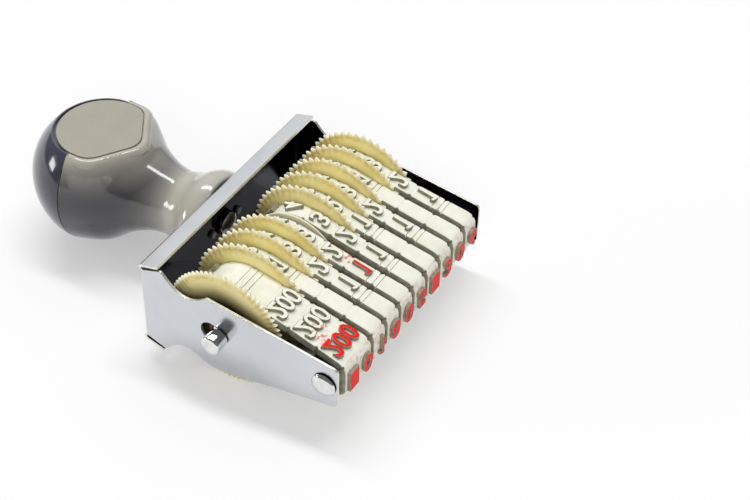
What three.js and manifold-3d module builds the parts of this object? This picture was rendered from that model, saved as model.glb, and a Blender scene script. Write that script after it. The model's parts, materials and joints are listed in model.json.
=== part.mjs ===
// A band date stamp, lying on its side. Nine toothed thumb wheels ride on one axle, and each
// drives an endless rubber band whose tablets pass over a platen bar at the printing end. A bent
// steel frame holds axle and bar, and a waisted handle with a round knob is screwed to its web.
//
// The stamp is drawn in its own axes, in millimetres: X runs along the axle, Y from the handle to
// the printing faces, and Z across the frame, with Y = 0 on the outer face of the frame's web.
// Last of all it is laid down, so that it rests on the knob and on the wheels' teeth.
import * as THREE from "three";
import { mergeVertices } from "three/addons/utils/BufferGeometryUtils.js";
import Module from "manifold-3d";

const wasm = await Module();
wasm.setup();

// Clearances
const GAP = 0.3; // between two pieces that touch or turn on each other
const BAND_SIDE_GAP = 0.25; // each side of a band, between two wheel rims
const OVERRUN = 2; // how far a cut runs past the surface it opens

// Frame: one strip of sheet steel, bent to a U, with a flared lip along each side of the web
const FRAME_WIDTH = 60;
const SHEET = 0.8;
const BEND_RADIUS = 1.2;
const WEB_HALF_HEIGHT = 10.5;
const WEB_DROP = 0.6; // how much farther the web and its lower lip reach below the axle's plane
const LIP_LENGTH = 5.1;
const LIP_FLARE_DEGREES = 16;
const PLATE_SETBACK = 0.4; // from the printing faces back to the plates' tips
const PLATE_TIP_HALF_HEIGHT = 5.2;
const PLATE_TIP_CORNER = 1.3;
const PLATE_CORNER = 0.6;
const PLATE_ROOT_HALF_HEIGHT = 9.35;
const SCOOP_START = 5.6;
const SCOOP_START_HALF_HEIGHT = 11;
// Where the sides of each thumb scoop would meet, how far back its curve starts, and its far crest
const TOP_SCOOP = { y: 11.6, z: 4.5, ease: 6.2, crestY: 17, crestZ: 9.2, crestEase: 0.6 };
const BOTTOM_SCOOP = { y: 9.4, z: 6.8, ease: 5, crestY: 18.2, crestZ: 10.9, crestEase: 3 };

// Axle, held by its two necks in the frame's keyholes
const AXLE_REACH = 20;
const AXLE_RADIUS = 2.2;
const AXLE_NECK_RADIUS = 1.5;
const AXLE_HEAD_LENGTH = 3.7;
const AXLE_CHAMFER = 0.3;
const KEYHOLE_STEP = 2.2; // from the axle's seat back to the hole that its heads pass

// Thumb wheels
const WHEEL_COUNT = 9;
const NEAR_WHEEL_COUNT = 4; // wheels whose bands lie on their far side
const FINE_TEETH = 72; // on the first wheel
const TEETH = 48;
const WHEEL_RADIUS = 14.5;
const TOOTH_DEPTH = 1.2;
const SHOULDER_RADIUS = 12.3;
const RIM_THICKNESS = 1.3;
const TOOTH_TIP_THICKNESS = 0.8;
const WIDE_SLOT_WIDTH = 8.77;
const DRUM_RADIUS = 8.1;
const END_BOSS_LENGTH = 1.2;
const END_BOSS_RADIUS = 3.4;
const GUIDE_RADIUS = 11.5;
const GUIDE_THICKNESS = 0.6;
const GUIDE_GAP = 0.525; // each side of the guide disc, up to the next band's slot

// Bands, and the platen bar that they run round
const FACE_REACH = 49.2;
const BAND_THICKNESS = 1.9;
const TABLET_COUNT = 14;
const TABLET_WIDTH = 4;
const WIDE_TABLET_WIDTH = 9.7;
const TABLET_SPACE = 1.62;
const NOTCH_DEPTH = 0.6;
const NOTCH_HALF_WIDTH = 0.6;
const PLATEN_HALF_HEIGHT = 2.6;
const PLATEN_BACK_HALF_HEIGHT = 3.2;
const PLATEN_LENGTH = 6;
const PLATEN_CORNER = 0.5;
const TENON_SETBACK = 1.4; // from the bar's front to the middle of its round tenons
const TENON_RADIUS = 1.2;
const STAKED_HEAD_RADIUS = 2.8;
const STAKED_HEAD_HEIGHT = 0.9;

// Handle
const HANDLE_LENGTH = 49.5;
const KNOB_RADIUS = 16.6;
const KNOB_STRAIGHT = 0.7; // from the cap's joint to where its end starts to round
const WAIST_RADIUS = 7.7;
const WAIST_REACH = 12;
const BASE_RADIUS = 11;
const BASE_THICKNESS = 2.4;
const BASE_EDGE = 0.5;
const VALLEY_RADIUS = 8.5; // behind the flange's rounded shoulder
const VALLEY_REACH = 6.9;
const CAP_JOINT_REACH = 33;
const SPIGOT_RADIUS = 6;
const SPIGOT_LENGTH = 5;
const FACET_HEIGHT = 12.3;
const RISE_SHARES = [[0, 0], [0.2, 0.084], [0.454, 0.362], [0.702, 0.787], [1, 1]];
const CAP_ROUNDNESS = 1.8;

// Label insert, let into the flat on the knob
const LABEL_RADIUS = 10.6;
const LABEL_ARC_REACH = 31.3;
const LABEL_TIP_REACH = 20.9;
const LABEL_TAPER_DEGREES = 33.3;
const LABEL_SIDE_EASE = 2.8;
const LABEL_TIP_EASE = 3.2;
const LABEL_THICKNESS = 1;
const LABEL_RISE = 0.3;
const LABEL_RIM = 0.8;
const LABEL_SKIRT = 1.9; // how far the rim's rounded edge spreads, and how far it falls
const LABEL_SKIRT_DROP = 2.2;
const LABEL_EDGE = 0.7; // the upright part of the rim's side

// Handle screw, and the two pegs that stop the handle from turning
const SCREW_RADIUS = 1.6;
const SCREW_DEPTH = 14;
const SCREW_HEAD_RADIUS = 3;
const SCREW_HEAD_HEIGHT = 1.7;
const PEG_RADIUS = 1;
const PEG_SPREAD = 4.9;
const PEG_STAND = 0.5;

// How finely round pieces are drawn
const HANDLE_SIDES = 26;
const DRUM_SIDES = 24;
const HOLE_SIDES = 16;
const CORNER_STEPS = 3;
const CAP_STEPS = 6;
const RISE_STEPS = 4;
const LABEL_STEPS = 6;
const RIM_STEPS = 2;
const NOSE_STEPS = 2;
const WRAP_STEPS = 5;
const DOME_STEPS = 3;

// Finishes: colour, roughness and metalness
const FINISHES = {
  chrome: { color: 0xc9ccd0, roughness: 0.12, metalness: 1 },
  steel: { color: 0xb9bbbd, roughness: 0.3, metalness: 1 },
  ivory: { color: 0xe9e4b8, roughness: 0.45, metalness: 0 },
  rubber: { color: 0xd9d3b4, roughness: 0.75, metalness: 0 },
  taupe: { color: 0xb9b6b4, roughness: 0.3, metalness: 0 },
  slate: { color: 0x4a5568, roughness: 0.2, metalness: 0 },
  label: { color: 0xa9acb2, roughness: 0.35, metalness: 0.2 },
};

// Solids: a closed geometry becomes a solid that can be joined and cut, and back again
function solidOf(geometry) {
  geometry.deleteAttribute("normal");
  geometry.deleteAttribute("uv");
  const merged = mergeVertices(geometry);
  const corners = merged.index.array;
  const kept = [];
  for (let i = 0; i < corners.length; i += 3) {
    const [a, b, c] = [corners[i], corners[i + 1], corners[i + 2]];
    if (a !== b && b !== c && c !== a) kept.push(a, b, c);
  }
  const mesh = new wasm.Mesh({
    numProp: 3,
    vertProperties: Float32Array.from(merged.attributes.position.array),
    triVerts: Uint32Array.from(kept),
  });
  return new wasm.Manifold(mesh);
}

function geometryOf(solid) {
  const mesh = solid.getMesh();
  const geometry = new THREE.BufferGeometry();
  geometry.setAttribute("position", new THREE.Float32BufferAttribute(mesh.vertProperties, 3));
  geometry.setIndex(Array.from(mesh.triVerts));
  geometry.computeVertexNormals();
  return geometry;
}

// Shapes. An outline is a list of corners, each with the length that its rounding takes.
function roundedShape(corners) {
  const shape = new THREE.Shape();
  corners.forEach((corner, i) => {
    const here = new THREE.Vector2(corner[0], corner[1]);
    const ease = corner[2] ?? 0;
    const before = new THREE.Vector2(...corners[(i + corners.length - 1) % corners.length]);
    const after = new THREE.Vector2(...corners[(i + 1) % corners.length]);
    const start = before.sub(here).setLength(ease).add(here);
    const end = after.sub(here).setLength(ease).add(here);
    if (i === 0) shape.moveTo(start.x, start.y);
    else shape.lineTo(start.x, start.y);
    if (ease > 0) shape.quadraticCurveTo(here.x, here.y, end.x, end.y);
  });
  return shape;
}

function prismAlongZ(shape, from, to, curveSegments = CORNER_STEPS) {
  const options = { depth: to - from, bevelEnabled: false, curveSegments };
  return solidOf(new THREE.ExtrudeGeometry(shape, options).translate(0, 0, from));
}

// A shape drawn in Y and Z, drawn out along X
function prismAlongX(shape, from, to, curveSegments = CORNER_STEPS) {
  const options = { depth: to - from, bevelEnabled: false, curveSegments };
  const geometry = new THREE.ExtrudeGeometry(shape, options).translate(0, 0, from);
  const [x, y, z] = [new THREE.Vector3(1, 0, 0), new THREE.Vector3(0, 1, 0), new THREE.Vector3(0, 0, 1)];
  return solidOf(geometry.applyMatrix4(new THREE.Matrix4().makeBasis(y, z, x)));
}

// Turned pieces: a profile of [radius, place along the axis]
function turnedAlongX(profile, sides, y = 0) {
  const points = profile.map(([radius, x]) => new THREE.Vector2(radius, x));
  return solidOf(new THREE.LatheGeometry(points, sides).rotateZ(-Math.PI / 2).translate(0, y, 0));
}

function turnedAlongY(profile, sides, x = 0) {
  const points = profile.map(([radius, y]) => new THREE.Vector2(radius, y));
  return solidOf(new THREE.LatheGeometry(points, sides).translate(x, 0, 0));
}

function rodAlongX(radius, from, to, y, sides = HOLE_SIDES) {
  return turnedAlongX([[0, from], [radius, from], [radius, to], [0, to]], sides, y);
}

function rodAlongY(radius, from, to, x = 0, sides = HOLE_SIDES) {
  return turnedAlongY([[0, from], [radius, from], [radius, to], [0, to]], sides, x);
}

// Shared places, worked out from the sizes above
const outerHalf = FRAME_WIDTH / 2;
const innerHalf = outerHalf - SHEET;
const lipAngle = THREE.MathUtils.degToRad(LIP_FLARE_DEGREES);
const endWheelX = innerHalf - GAP - END_BOSS_LENGTH - RIM_THICKNESS / 2;
const guideRoom = GUIDE_THICKNESS + 2 * GUIDE_GAP;
const roomForSlots = 2 * endWheelX - (WHEEL_COUNT - 1) * RIM_THICKNESS - WIDE_SLOT_WIDTH - guideRoom;
const slotWidth = roomForSlots / (WHEEL_COUNT - 1);
const wheelPitch = RIM_THICKNESS + slotWidth;
const boreRadius = AXLE_RADIUS + GAP;
const plateReach = FACE_REACH - PLATE_SETBACK;
const knobReach = CAP_JOINT_REACH + KNOB_STRAIGHT;

function wheelX(number) {
  if (number > NEAR_WHEEL_COUNT) return (WHEEL_COUNT - number) * wheelPitch - endWheelX;
  if (number === 1) return endWheelX;
  return endWheelX - RIM_THICKNESS - WIDE_SLOT_WIDTH - (number - 2) * wheelPitch;
}

// Which way a wheel's drum points along X, and where its drum ends
function drumSide(number) {
  return number > NEAR_WHEEL_COUNT ? 1 : -1;
}

const guideX = (wheelX(NEAR_WHEEL_COUNT) + wheelX(NEAR_WHEEL_COUNT + 1)) / 2;

function drumEnd(number) {
  const side = drumSide(number);
  const next = number - side;
  const besideGuide = drumSide(next) !== side;
  const stop = besideGuide ? guideX - (side * GUIDE_THICKNESS) / 2 : wheelX(next) - (side * RIM_THICKNESS) / 2;
  return stop - side * GAP;
}

// Frame
function planOutline() {
  const inner = BEND_RADIUS - SHEET;
  return roundedShape([
    [-outerHalf, plateReach],
    [-outerHalf, 0, BEND_RADIUS],
    [outerHalf, 0, BEND_RADIUS],
    [outerHalf, plateReach],
    [innerHalf, plateReach],
    [innerHalf, SHEET, inner],
    [-innerHalf, SHEET, inner],
    [-innerHalf, plateReach],
  ]);
}

function plateEdge(scoop, side) {
  const drop = side < 0 ? WEB_DROP : 0;
  return [
    [0, side * (PLATE_ROOT_HALF_HEIGHT + drop)],
    [SCOOP_START, side * (SCOOP_START_HALF_HEIGHT + drop), PLATE_CORNER],
    [scoop.y, side * scoop.z, scoop.ease],
    [scoop.crestY, side * scoop.crestZ, scoop.crestEase],
    [plateReach, side * PLATE_TIP_HALF_HEIGHT, PLATE_TIP_CORNER],
  ];
}

function plateOutline() {
  return roundedShape([...plateEdge(TOP_SCOOP, 1), ...plateEdge(BOTTOM_SCOOP, -1).reverse()]);
}

// The web and its two flared lips, as one channel
function channelOutline() {
  const tipY = LIP_LENGTH * Math.cos(lipAngle);
  const tipZ = WEB_HALF_HEIGHT + LIP_LENGTH * Math.sin(lipAngle);
  const backY = tipY + SHEET * Math.sin(lipAngle);
  const backZ = tipZ - SHEET * Math.cos(lipAngle);
  const rootZ = backZ - (backY - SHEET) * Math.tan(lipAngle);
  const inner = BEND_RADIUS - SHEET;
  const top = [[0, WEB_HALF_HEIGHT, BEND_RADIUS], [tipY, tipZ], [backY, backZ], [SHEET, rootZ, inner]];
  const bottom = top.map(([y, z, ease]) => [y, -z - WEB_DROP, ease]).reverse();
  return roundedShape([...top, ...bottom]);
}

// The block that web and lips are bent from, with the bends at the plates' roots
function bentBlock(tall) {
  const block = roundedShape([
    [-outerHalf, SCOOP_START],
    [-outerHalf, 0, BEND_RADIUS],
    [outerHalf, 0, BEND_RADIUS],
    [outerHalf, SCOOP_START],
  ]);
  return prismAlongZ(block, -tall, tall);
}

function frameSolid() {
  const reach = outerHalf + OVERRUN;
  const tall = WEB_HALF_HEIGHT + WEB_DROP + LIP_LENGTH;
  const keyholeY = AXLE_REACH - KEYHOLE_STEP;
  const neckHole = AXLE_NECK_RADIUS + GAP;
  const slot = roundedShape([
    [keyholeY, -neckHole],
    [AXLE_REACH, -neckHole],
    [AXLE_REACH, neckHole],
    [keyholeY, neckHole],
  ]);
  let frame = prismAlongZ(planOutline(), -tall, tall).intersect(prismAlongX(plateOutline(), -reach, reach));
  frame = frame.add(prismAlongX(channelOutline(), -reach, reach).intersect(bentBlock(tall)));
  frame = frame.subtract(rodAlongX(AXLE_RADIUS + GAP, -reach, reach, keyholeY));
  frame = frame.subtract(prismAlongX(slot, -reach, reach));
  frame = frame.subtract(rodAlongX(neckHole, -reach, reach, AXLE_REACH));
  frame = frame.subtract(rodAlongX(TENON_RADIUS + GAP, -reach, reach, tenonY));
  frame = frame.subtract(rodAlongY(SCREW_RADIUS + GAP, -OVERRUN, SHEET + OVERRUN));
  for (const side of [-1, 1]) {
    frame = frame.subtract(rodAlongY(PEG_RADIUS + GAP, -OVERRUN, SHEET + OVERRUN, side * PEG_SPREAD));
  }
  return frame;
}

// Axle: heads outside the plates, a neck through each plate, and the shaft between them
function axleSolid() {
  const neckFrom = innerHalf - GAP;
  const neckTo = outerHalf + GAP;
  const end = outerHalf + AXLE_HEAD_LENGTH;
  const half = [
    [AXLE_RADIUS, neckFrom],
    [AXLE_NECK_RADIUS, neckFrom],
    [AXLE_NECK_RADIUS, neckTo],
    [AXLE_RADIUS, neckTo],
    [AXLE_RADIUS, end - AXLE_CHAMFER],
    [AXLE_RADIUS - AXLE_CHAMFER, end],
    [0, end],
  ];
  const mirrored = half.map(([radius, x]) => [radius, -x]).reverse();
  return turnedAlongX([...mirrored, ...half], HOLE_SIDES, AXLE_REACH);
}

// Thumb wheels. A toothed disc: a flat web out to the shoulder, then a rim that thins towards the
// tips, where each tooth is a ridge that runs out into the shoulder.
function toothedDisc(teeth, x) {
  const step = (2 * Math.PI) / teeth;
  const rootRadius = WHEEL_RADIUS - TOOTH_DEPTH;
  const thinning = (RIM_THICKNESS - TOOTH_TIP_THICKNESS) / (WHEEL_RADIUS - SHOULDER_RADIUS);
  const rootThickness = RIM_THICKNESS - thinning * (rootRadius - SHOULDER_RADIUS);
  const positions = [];
  const triangles = [];
  const point = (px, radius, angle) => {
    positions.push(px, AXLE_REACH + radius * Math.cos(angle), radius * Math.sin(angle));
    return positions.length / 3 - 1;
  };
  const sides = [1, -1].map((side) => {
    const centre = point(x + (side * RIM_THICKNESS) / 2, 0, 0);
    const shoulders = [];
    const crown = [];
    for (let i = 0; i < teeth; i++) {
      const angle = (i - 1 / 2) * step;
      shoulders.push(point(x + (side * RIM_THICKNESS) / 2, SHOULDER_RADIUS, angle));
      crown.push(point(x + (side * rootThickness) / 2, rootRadius, angle));
      crown.push(point(x + (side * TOOTH_TIP_THICKNESS) / 2, WHEEL_RADIUS, angle + step / 2));
    }
    return { side, centre, shoulders, crown };
  });
  const face = (side, a, b, c) => triangles.push(...(side > 0 ? [a, b, c] : [a, c, b]));
  for (const { side, centre, shoulders, crown } of sides) {
    for (let i = 0; i < teeth; i++) {
      const [here, next] = [shoulders[i], shoulders[(i + 1) % teeth]];
      const [root, tip, nextRoot] = [crown[2 * i], crown[2 * i + 1], crown[(2 * i + 2) % crown.length]];
      face(side, centre, here, next);
      face(side, here, root, tip);
      face(side, here, tip, next);
      face(side, next, tip, nextRoot);
    }
  }
  const [near, far] = sides.map(({ crown }) => crown);
  near.forEach((corner, i) => {
    const j = (i + 1) % near.length;
    triangles.push(far[i], far[j], near[j], far[i], near[j], corner);
  });
  return solidOf(bufferOf(positions, triangles));
}

function bufferOf(positions, triangles) {
  const geometry = new THREE.BufferGeometry();
  geometry.setAttribute("position", new THREE.Float32BufferAttribute(positions, 3));
  geometry.setIndex(triangles);
  return geometry;
}

function wheelSolid(number) {
  const x = wheelX(number);
  const drum = [x, drumEnd(number)].sort((a, b) => a - b);
  let wheel = toothedDisc(number === 1 ? FINE_TEETH : TEETH, x);
  wheel = wheel.add(rodAlongX(DRUM_RADIUS, ...drum, AXLE_REACH, DRUM_SIDES));
  if (number === 1 || number === WHEEL_COUNT) {
    const boss = [x, Math.sign(x) * (innerHalf - GAP)].sort((a, b) => a - b);
    wheel = wheel.add(rodAlongX(END_BOSS_RADIUS, ...boss, AXLE_REACH));
  }
  return wheel.subtract(rodAlongX(boreRadius, -innerHalf, innerHalf, AXLE_REACH));
}

function guideSolid() {
  const from = guideX - GUIDE_THICKNESS / 2;
  const to = guideX + GUIDE_THICKNESS / 2;
  const disc = rodAlongX(GUIDE_RADIUS, from, to, AXLE_REACH, HANDLE_SIDES);
  return disc.subtract(rodAlongX(boreRadius, -innerHalf, innerHalf, AXLE_REACH));
}

// Platen bar, with a round tenon through each plate, staked over outside
const platenFront = FACE_REACH - BAND_THICKNESS - GAP;
const tenonY = platenFront - TENON_SETBACK;

function stakedHead(side) {
  const base = outerHalf + GAP;
  const profile = [[0, base]];
  for (let i = 0; i <= DOME_STEPS; i++) {
    const turn = (i / DOME_STEPS) * (Math.PI / 2);
    const radius = i === DOME_STEPS ? 0 : STAKED_HEAD_RADIUS * Math.cos(turn);
    profile.push([radius, base + STAKED_HEAD_HEIGHT * Math.sin(turn)]);
  }
  const head = side > 0 ? profile : profile.map(([radius, x]) => [radius, -x]).reverse();
  return turnedAlongX(head, HOLE_SIDES, tenonY);
}

function platenSolid() {
  const back = platenFront - PLATEN_LENGTH;
  const section = roundedShape([
    [platenFront, -PLATEN_HALF_HEIGHT, PLATEN_CORNER],
    [platenFront, PLATEN_HALF_HEIGHT, PLATEN_CORNER],
    [back, PLATEN_BACK_HALF_HEIGHT],
    [back, -PLATEN_BACK_HALF_HEIGHT],
  ]);
  const end = innerHalf - GAP;
  const headRoot = outerHalf + GAP + STAKED_HEAD_HEIGHT / 2;
  let platen = prismAlongX(section, -end, end);
  platen = platen.add(rodAlongX(TENON_RADIUS, -headRoot, headRoot, tenonY));
  return platen.add(stakedHead(1)).add(stakedHead(-1));
}

// Bands. The belt's line runs from the middle of the printing face up over the platen's corner,
// back along a straight run and round the drum; the lower half mirrors it. Places along it are
// lengths on the tablets' outer surface.
const noseRadius = PLATEN_CORNER + GAP;
const noseY = platenFront - PLATEN_CORNER;
const noseZ = PLATEN_HALF_HEIGHT - PLATEN_CORNER;
const wrapRadius = DRUM_RADIUS + GAP;
const centreDistance = Math.hypot(noseY - AXLE_REACH, noseZ);
const runSlope = Math.asin((wrapRadius - noseRadius) / centreDistance) - Math.atan2(noseZ, noseY - AXLE_REACH);
const runLength = Math.sqrt(centreDistance ** 2 - (wrapRadius - noseRadius) ** 2);
const noseTurn = Math.PI / 2 - runSlope;
const wrapTurn = Math.PI / 2 + runSlope;
const noseLength = (noseRadius + BAND_THICKNESS) * noseTurn;
const wrapLength = (wrapRadius + BAND_THICKNESS) * wrapTurn;
const runStart = noseZ + noseLength;
const wrapStart = runStart + runLength;
const halfLoop = wrapStart + wrapLength;

// The outer surface's point and outward direction at a place on the upper half
function upperPlace(s) {
  const out = (y, z, turn) => {
    const normal = { y: Math.cos(turn), z: Math.sin(turn) };
    return { y, z, normal };
  };
  if (s <= noseZ) return out(noseY + noseRadius + BAND_THICKNESS, s, 0);
  const around = (y, z, radius, turn) => out(y + radius * Math.cos(turn), z + radius * Math.sin(turn), turn);
  if (s < runStart) {
    const radius = noseRadius + BAND_THICKNESS;
    return around(noseY, noseZ, radius, (s - noseZ) / radius);
  }
  if (s < wrapStart) {
    const start = around(noseY, noseZ, noseRadius + BAND_THICKNESS, noseTurn);
    const along = s - runStart;
    return out(start.y - along * Math.cos(runSlope), start.z + along * Math.sin(runSlope), noseTurn);
  }
  const radius = wrapRadius + BAND_THICKNESS;
  return around(AXLE_REACH, 0, radius, noseTurn + (s - wrapStart) / radius);
}

function beltPlace(s) {
  if (s <= halfLoop) return upperPlace(s);
  const { y, z, normal } = upperPlace(2 * halfLoop - s);
  return { y, z: -z, normal: { y: normal.y, z: -normal.z } };
}

// Stations round a band: where its line turns, and three at each notch between two tablets
function beltStations() {
  const turns = [];
  for (let i = 0; i <= NOSE_STEPS; i++) turns.push(noseZ + (i / NOSE_STEPS) * noseLength);
  for (let i = 0; i <= WRAP_STEPS; i++) turns.push(wrapStart + (i / WRAP_STEPS) * wrapLength);
  const lower = turns.filter((s) => s < halfLoop).map((s) => 2 * halfLoop - s);
  const pitch = (2 * halfLoop) / TABLET_COUNT;
  const notches = Array.from({ length: TABLET_COUNT }, (_, i) => (i + 1 / 2) * pitch);
  const clear = (s) => notches.every((notch) => Math.abs(s - notch) > NOTCH_HALF_WIDTH);
  const plain = [...turns, ...lower].filter(clear).map((s) => ({ s, depth: 0 }));
  const cuts = notches.flatMap((s) => [
    { s: s - NOTCH_HALF_WIDTH, depth: 0 },
    { s, depth: NOTCH_DEPTH },
    { s: s + NOTCH_HALF_WIDTH, depth: 0 },
  ]);
  return [...plain, ...cuts].sort((a, b) => a.s - b.s);
}

// A band's middle and width: between its rims as far as the wheels reach, then spreading evenly
// to the tablets' places across the printing face
function bandLane(number) {
  const wide = number === 1;
  const slot = wide ? WIDE_SLOT_WIDTH : slotWidth;
  const width = slot - 2 * BAND_SIDE_GAP;
  const endWidth = wide ? WIDE_TABLET_WIDTH : TABLET_WIDTH;
  const step = TABLET_WIDTH + TABLET_SPACE;
  const firstEdge = (WIDE_TABLET_WIDTH + (WHEEL_COUNT - 1) * step) / 2;
  const edge = wide ? firstEdge : firstEdge - WIDE_TABLET_WIDTH - TABLET_SPACE - (number - 2) * step;
  const beside = RIM_THICKNESS / 2 + BAND_SIDE_GAP + width / 2;
  return { x: wheelX(number) + drumSide(number) * beside, width, endX: edge - endWidth / 2, endWidth };
}

function bandGeometry(number) {
  const lane = bandLane(number);
  const spreadFrom = AXLE_REACH + WHEEL_RADIUS - BAND_THICKNESS;
  const positions = [];
  for (const { s, depth } of beltStations()) {
    const { y, z, normal } = beltPlace(s);
    const share = THREE.MathUtils.clamp((y - spreadFrom) / (FACE_REACH - spreadFrom), 0, 1);
    const x = THREE.MathUtils.lerp(lane.x, lane.endX, share);
    const half = THREE.MathUtils.lerp(lane.width, lane.endWidth, share) / 2;
    const inner = [y - BAND_THICKNESS * normal.y, z - BAND_THICKNESS * normal.z];
    const outer = [y - depth * normal.y, z - depth * normal.z];
    positions.push(x - half, ...inner, x + half, ...inner, x + half, ...outer, x - half, ...outer);
  }
  const stations = positions.length / 12;
  const triangles = [];
  for (let i = 0; i < stations; i++) {
    const next = (i + 1) % stations;
    for (let j = 0; j < 4; j++) {
      const k = (j + 1) % 4;
      triangles.push(4 * i + j, 4 * i + k, 4 * next + k, 4 * i + j, 4 * next + k, 4 * next + j);
    }
  }
  const geometry = bufferOf(positions, triangles);
  geometry.computeVertexNormals();
  return geometry;
}

// Label insert: half round towards the knob's end, tapering to a round tip towards the waist
function labelOutline(grow) {
  const slope = Math.tan(THREE.MathUtils.degToRad(LABEL_TAPER_DEGREES));
  const lift = grow * Math.hypot(1, slope);
  const side = LABEL_RADIUS + grow;
  const tipY = lift - LABEL_TIP_REACH;
  const cornerY = tipY - side * slope;
  const ease = (from, to, length) => new THREE.Vector2(...to).sub(from).setLength(length).add(from);
  const tip = new THREE.Vector2(0, tipY);
  const corner = new THREE.Vector2(side, cornerY);
  const cornerEnd = ease(corner, [0, tipY], LABEL_SIDE_EASE);
  const tipStart = ease(tip, [side, cornerY], LABEL_TIP_EASE);
  const shape = new THREE.Shape();
  shape.absarc(0, -LABEL_ARC_REACH, side, Math.PI, 2 * Math.PI, false);
  shape.lineTo(side, cornerY - LABEL_SIDE_EASE);
  shape.quadraticCurveTo(corner.x, corner.y, cornerEnd.x, cornerEnd.y);
  shape.lineTo(tipStart.x, tipStart.y);
  shape.quadraticCurveTo(tip.x, tip.y, -tipStart.x, tipStart.y);
  shape.lineTo(-cornerEnd.x, cornerEnd.y);
  shape.quadraticCurveTo(-corner.x, corner.y, -side, cornerY - LABEL_SIDE_EASE);
  return shape;
}

const labelTop = FACET_HEIGHT + LABEL_RISE;

function labelSolid() {
  return prismAlongZ(labelOutline(0), labelTop - LABEL_THICKNESS, labelTop, LABEL_STEPS);
}

function labelRecess() {
  return prismAlongZ(labelOutline(GAP), labelTop - LABEL_THICKNESS - GAP, KNOB_RADIUS + OVERRUN, LABEL_STEPS);
}

// Everything of the handle that lies above the knob's flat
function aboveFacet() {
  const block = new THREE.BoxGeometry(FRAME_WIDTH, 2 * HANDLE_LENGTH, KNOB_RADIUS);
  return solidOf(block.translate(0, -HANDLE_LENGTH, FACET_HEIGHT + KNOB_RADIUS / 2));
}

// The raised rim that carries the label on the waist's side of the cap joint, with rounded edges
function labelRim() {
  const geometry = new THREE.ExtrudeGeometry(labelOutline(LABEL_RIM), {
    depth: LABEL_EDGE,
    curveSegments: LABEL_STEPS,
    bevelThickness: LABEL_SKIRT_DROP,
    bevelSize: LABEL_SKIRT,
    bevelSegments: RIM_STEPS,
  });
  const rim = solidOf(geometry.translate(0, 0, FACET_HEIGHT - LABEL_SKIRT_DROP - LABEL_EDGE));
  const behind = new THREE.BoxGeometry(FRAME_WIDTH, HANDLE_LENGTH, 2 * KNOB_RADIUS);
  return rim.subtract(solidOf(behind.translate(0, GAP / 2 - CAP_JOINT_REACH - HANDLE_LENGTH / 2, 0)));
}

// Handle body: base flange, waist, and the rise to the knob's widest place
function handleBodySolid() {
  const jointY = GAP / 2 - CAP_JOINT_REACH;
  const rise = RISE_SHARES.map(([along, up]) => {
    const y = -THREE.MathUtils.lerp(WAIST_REACH, CAP_JOINT_REACH, along);
    return new THREE.Vector2(THREE.MathUtils.lerp(WAIST_RADIUS, KNOB_RADIUS, up), y);
  });
  const curve = new THREE.SplineCurve(rise).getPoints(RISE_STEPS).map(({ x, y }) => [x, y]);
  curve[curve.length - 1][1] = jointY;
  const shoulder = new THREE.QuadraticBezierCurve(
    new THREE.Vector2(BASE_RADIUS, -BASE_THICKNESS),
    new THREE.Vector2(BASE_RADIUS, -VALLEY_REACH),
    new THREE.Vector2(VALLEY_RADIUS, -VALLEY_REACH),
  );
  const profile = [
    [0, -GAP],
    [BASE_RADIUS - BASE_EDGE, -GAP],
    [BASE_RADIUS, -GAP - BASE_EDGE],
    ...shoulder.getPoints(CORNER_STEPS).map(({ x, y }) => [x, y]),
    ...curve,
    [SPIGOT_RADIUS, jointY],
    [SPIGOT_RADIUS, jointY - SPIGOT_LENGTH],
    [0, jointY - SPIGOT_LENGTH],
  ];
  let body = turnedAlongY(profile.reverse(), HANDLE_SIDES).subtract(aboveFacet());
  body = body.add(labelRim()).subtract(labelRecess());
  body = body.subtract(rodAlongY(SCREW_RADIUS + GAP, -SCREW_DEPTH - GAP, OVERRUN));
  for (const side of [-1, 1]) {
    body = body.add(rodAlongY(PEG_RADIUS, -BASE_THICKNESS, SHEET + PEG_STAND, side * PEG_SPREAD));
  }
  return body;
}

// End cap: the knob's rounded end, pushed onto the body's spigot
function handleCapSolid() {
  const jointY = -CAP_JOINT_REACH - GAP / 2;
  const depth = HANDLE_LENGTH - knobReach;
  const profile = [[0, jointY], [KNOB_RADIUS, jointY]];
  for (let i = 0; i <= CAP_STEPS; i++) {
    const turn = (i / CAP_STEPS) * (Math.PI / 2);
    const along = Math.sin(turn);
    const radius = i === CAP_STEPS ? 0 : KNOB_RADIUS * (1 - along ** CAP_ROUNDNESS) ** (1 / CAP_ROUNDNESS);
    profile.push([radius, -knobReach - depth * along]);
  }
  const socketEnd = GAP / 2 - CAP_JOINT_REACH - SPIGOT_LENGTH - GAP;
  const cap = turnedAlongY(profile.reverse(), HANDLE_SIDES).subtract(aboveFacet());
  const socket = rodAlongY(SPIGOT_RADIUS + GAP, socketEnd, jointY + OVERRUN, 0, HANDLE_SIDES);
  return cap.subtract(labelRecess()).subtract(socket);
}

// Handle screw: a round head against the web's inner face, and a shank up the handle
function screwSolid() {
  const seat = SHEET + GAP;
  const profile = [
    [0, -SCREW_DEPTH],
    [SCREW_RADIUS, -SCREW_DEPTH],
    [SCREW_RADIUS, seat],
    [SCREW_HEAD_RADIUS, seat],
  ];
  for (let i = 0; i <= DOME_STEPS; i++) {
    const turn = (i / DOME_STEPS) * (Math.PI / 2);
    const radius = i === DOME_STEPS ? 0 : SCREW_HEAD_RADIUS * Math.cos(turn);
    const rise = SCREW_HEAD_HEIGHT * (1 + Math.sin(turn));
    profile.push([radius, seat + rise / 2]);
  }
  return turnedAlongY(profile, HOLE_SIDES);
}

// Assembly
const stamp = new THREE.Group();

function place(name, geometry, finish) {
  const mesh = new THREE.Mesh(geometry, new THREE.MeshStandardMaterial(FINISHES[finish]));
  mesh.name = name;
  stamp.add(mesh);
}

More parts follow.
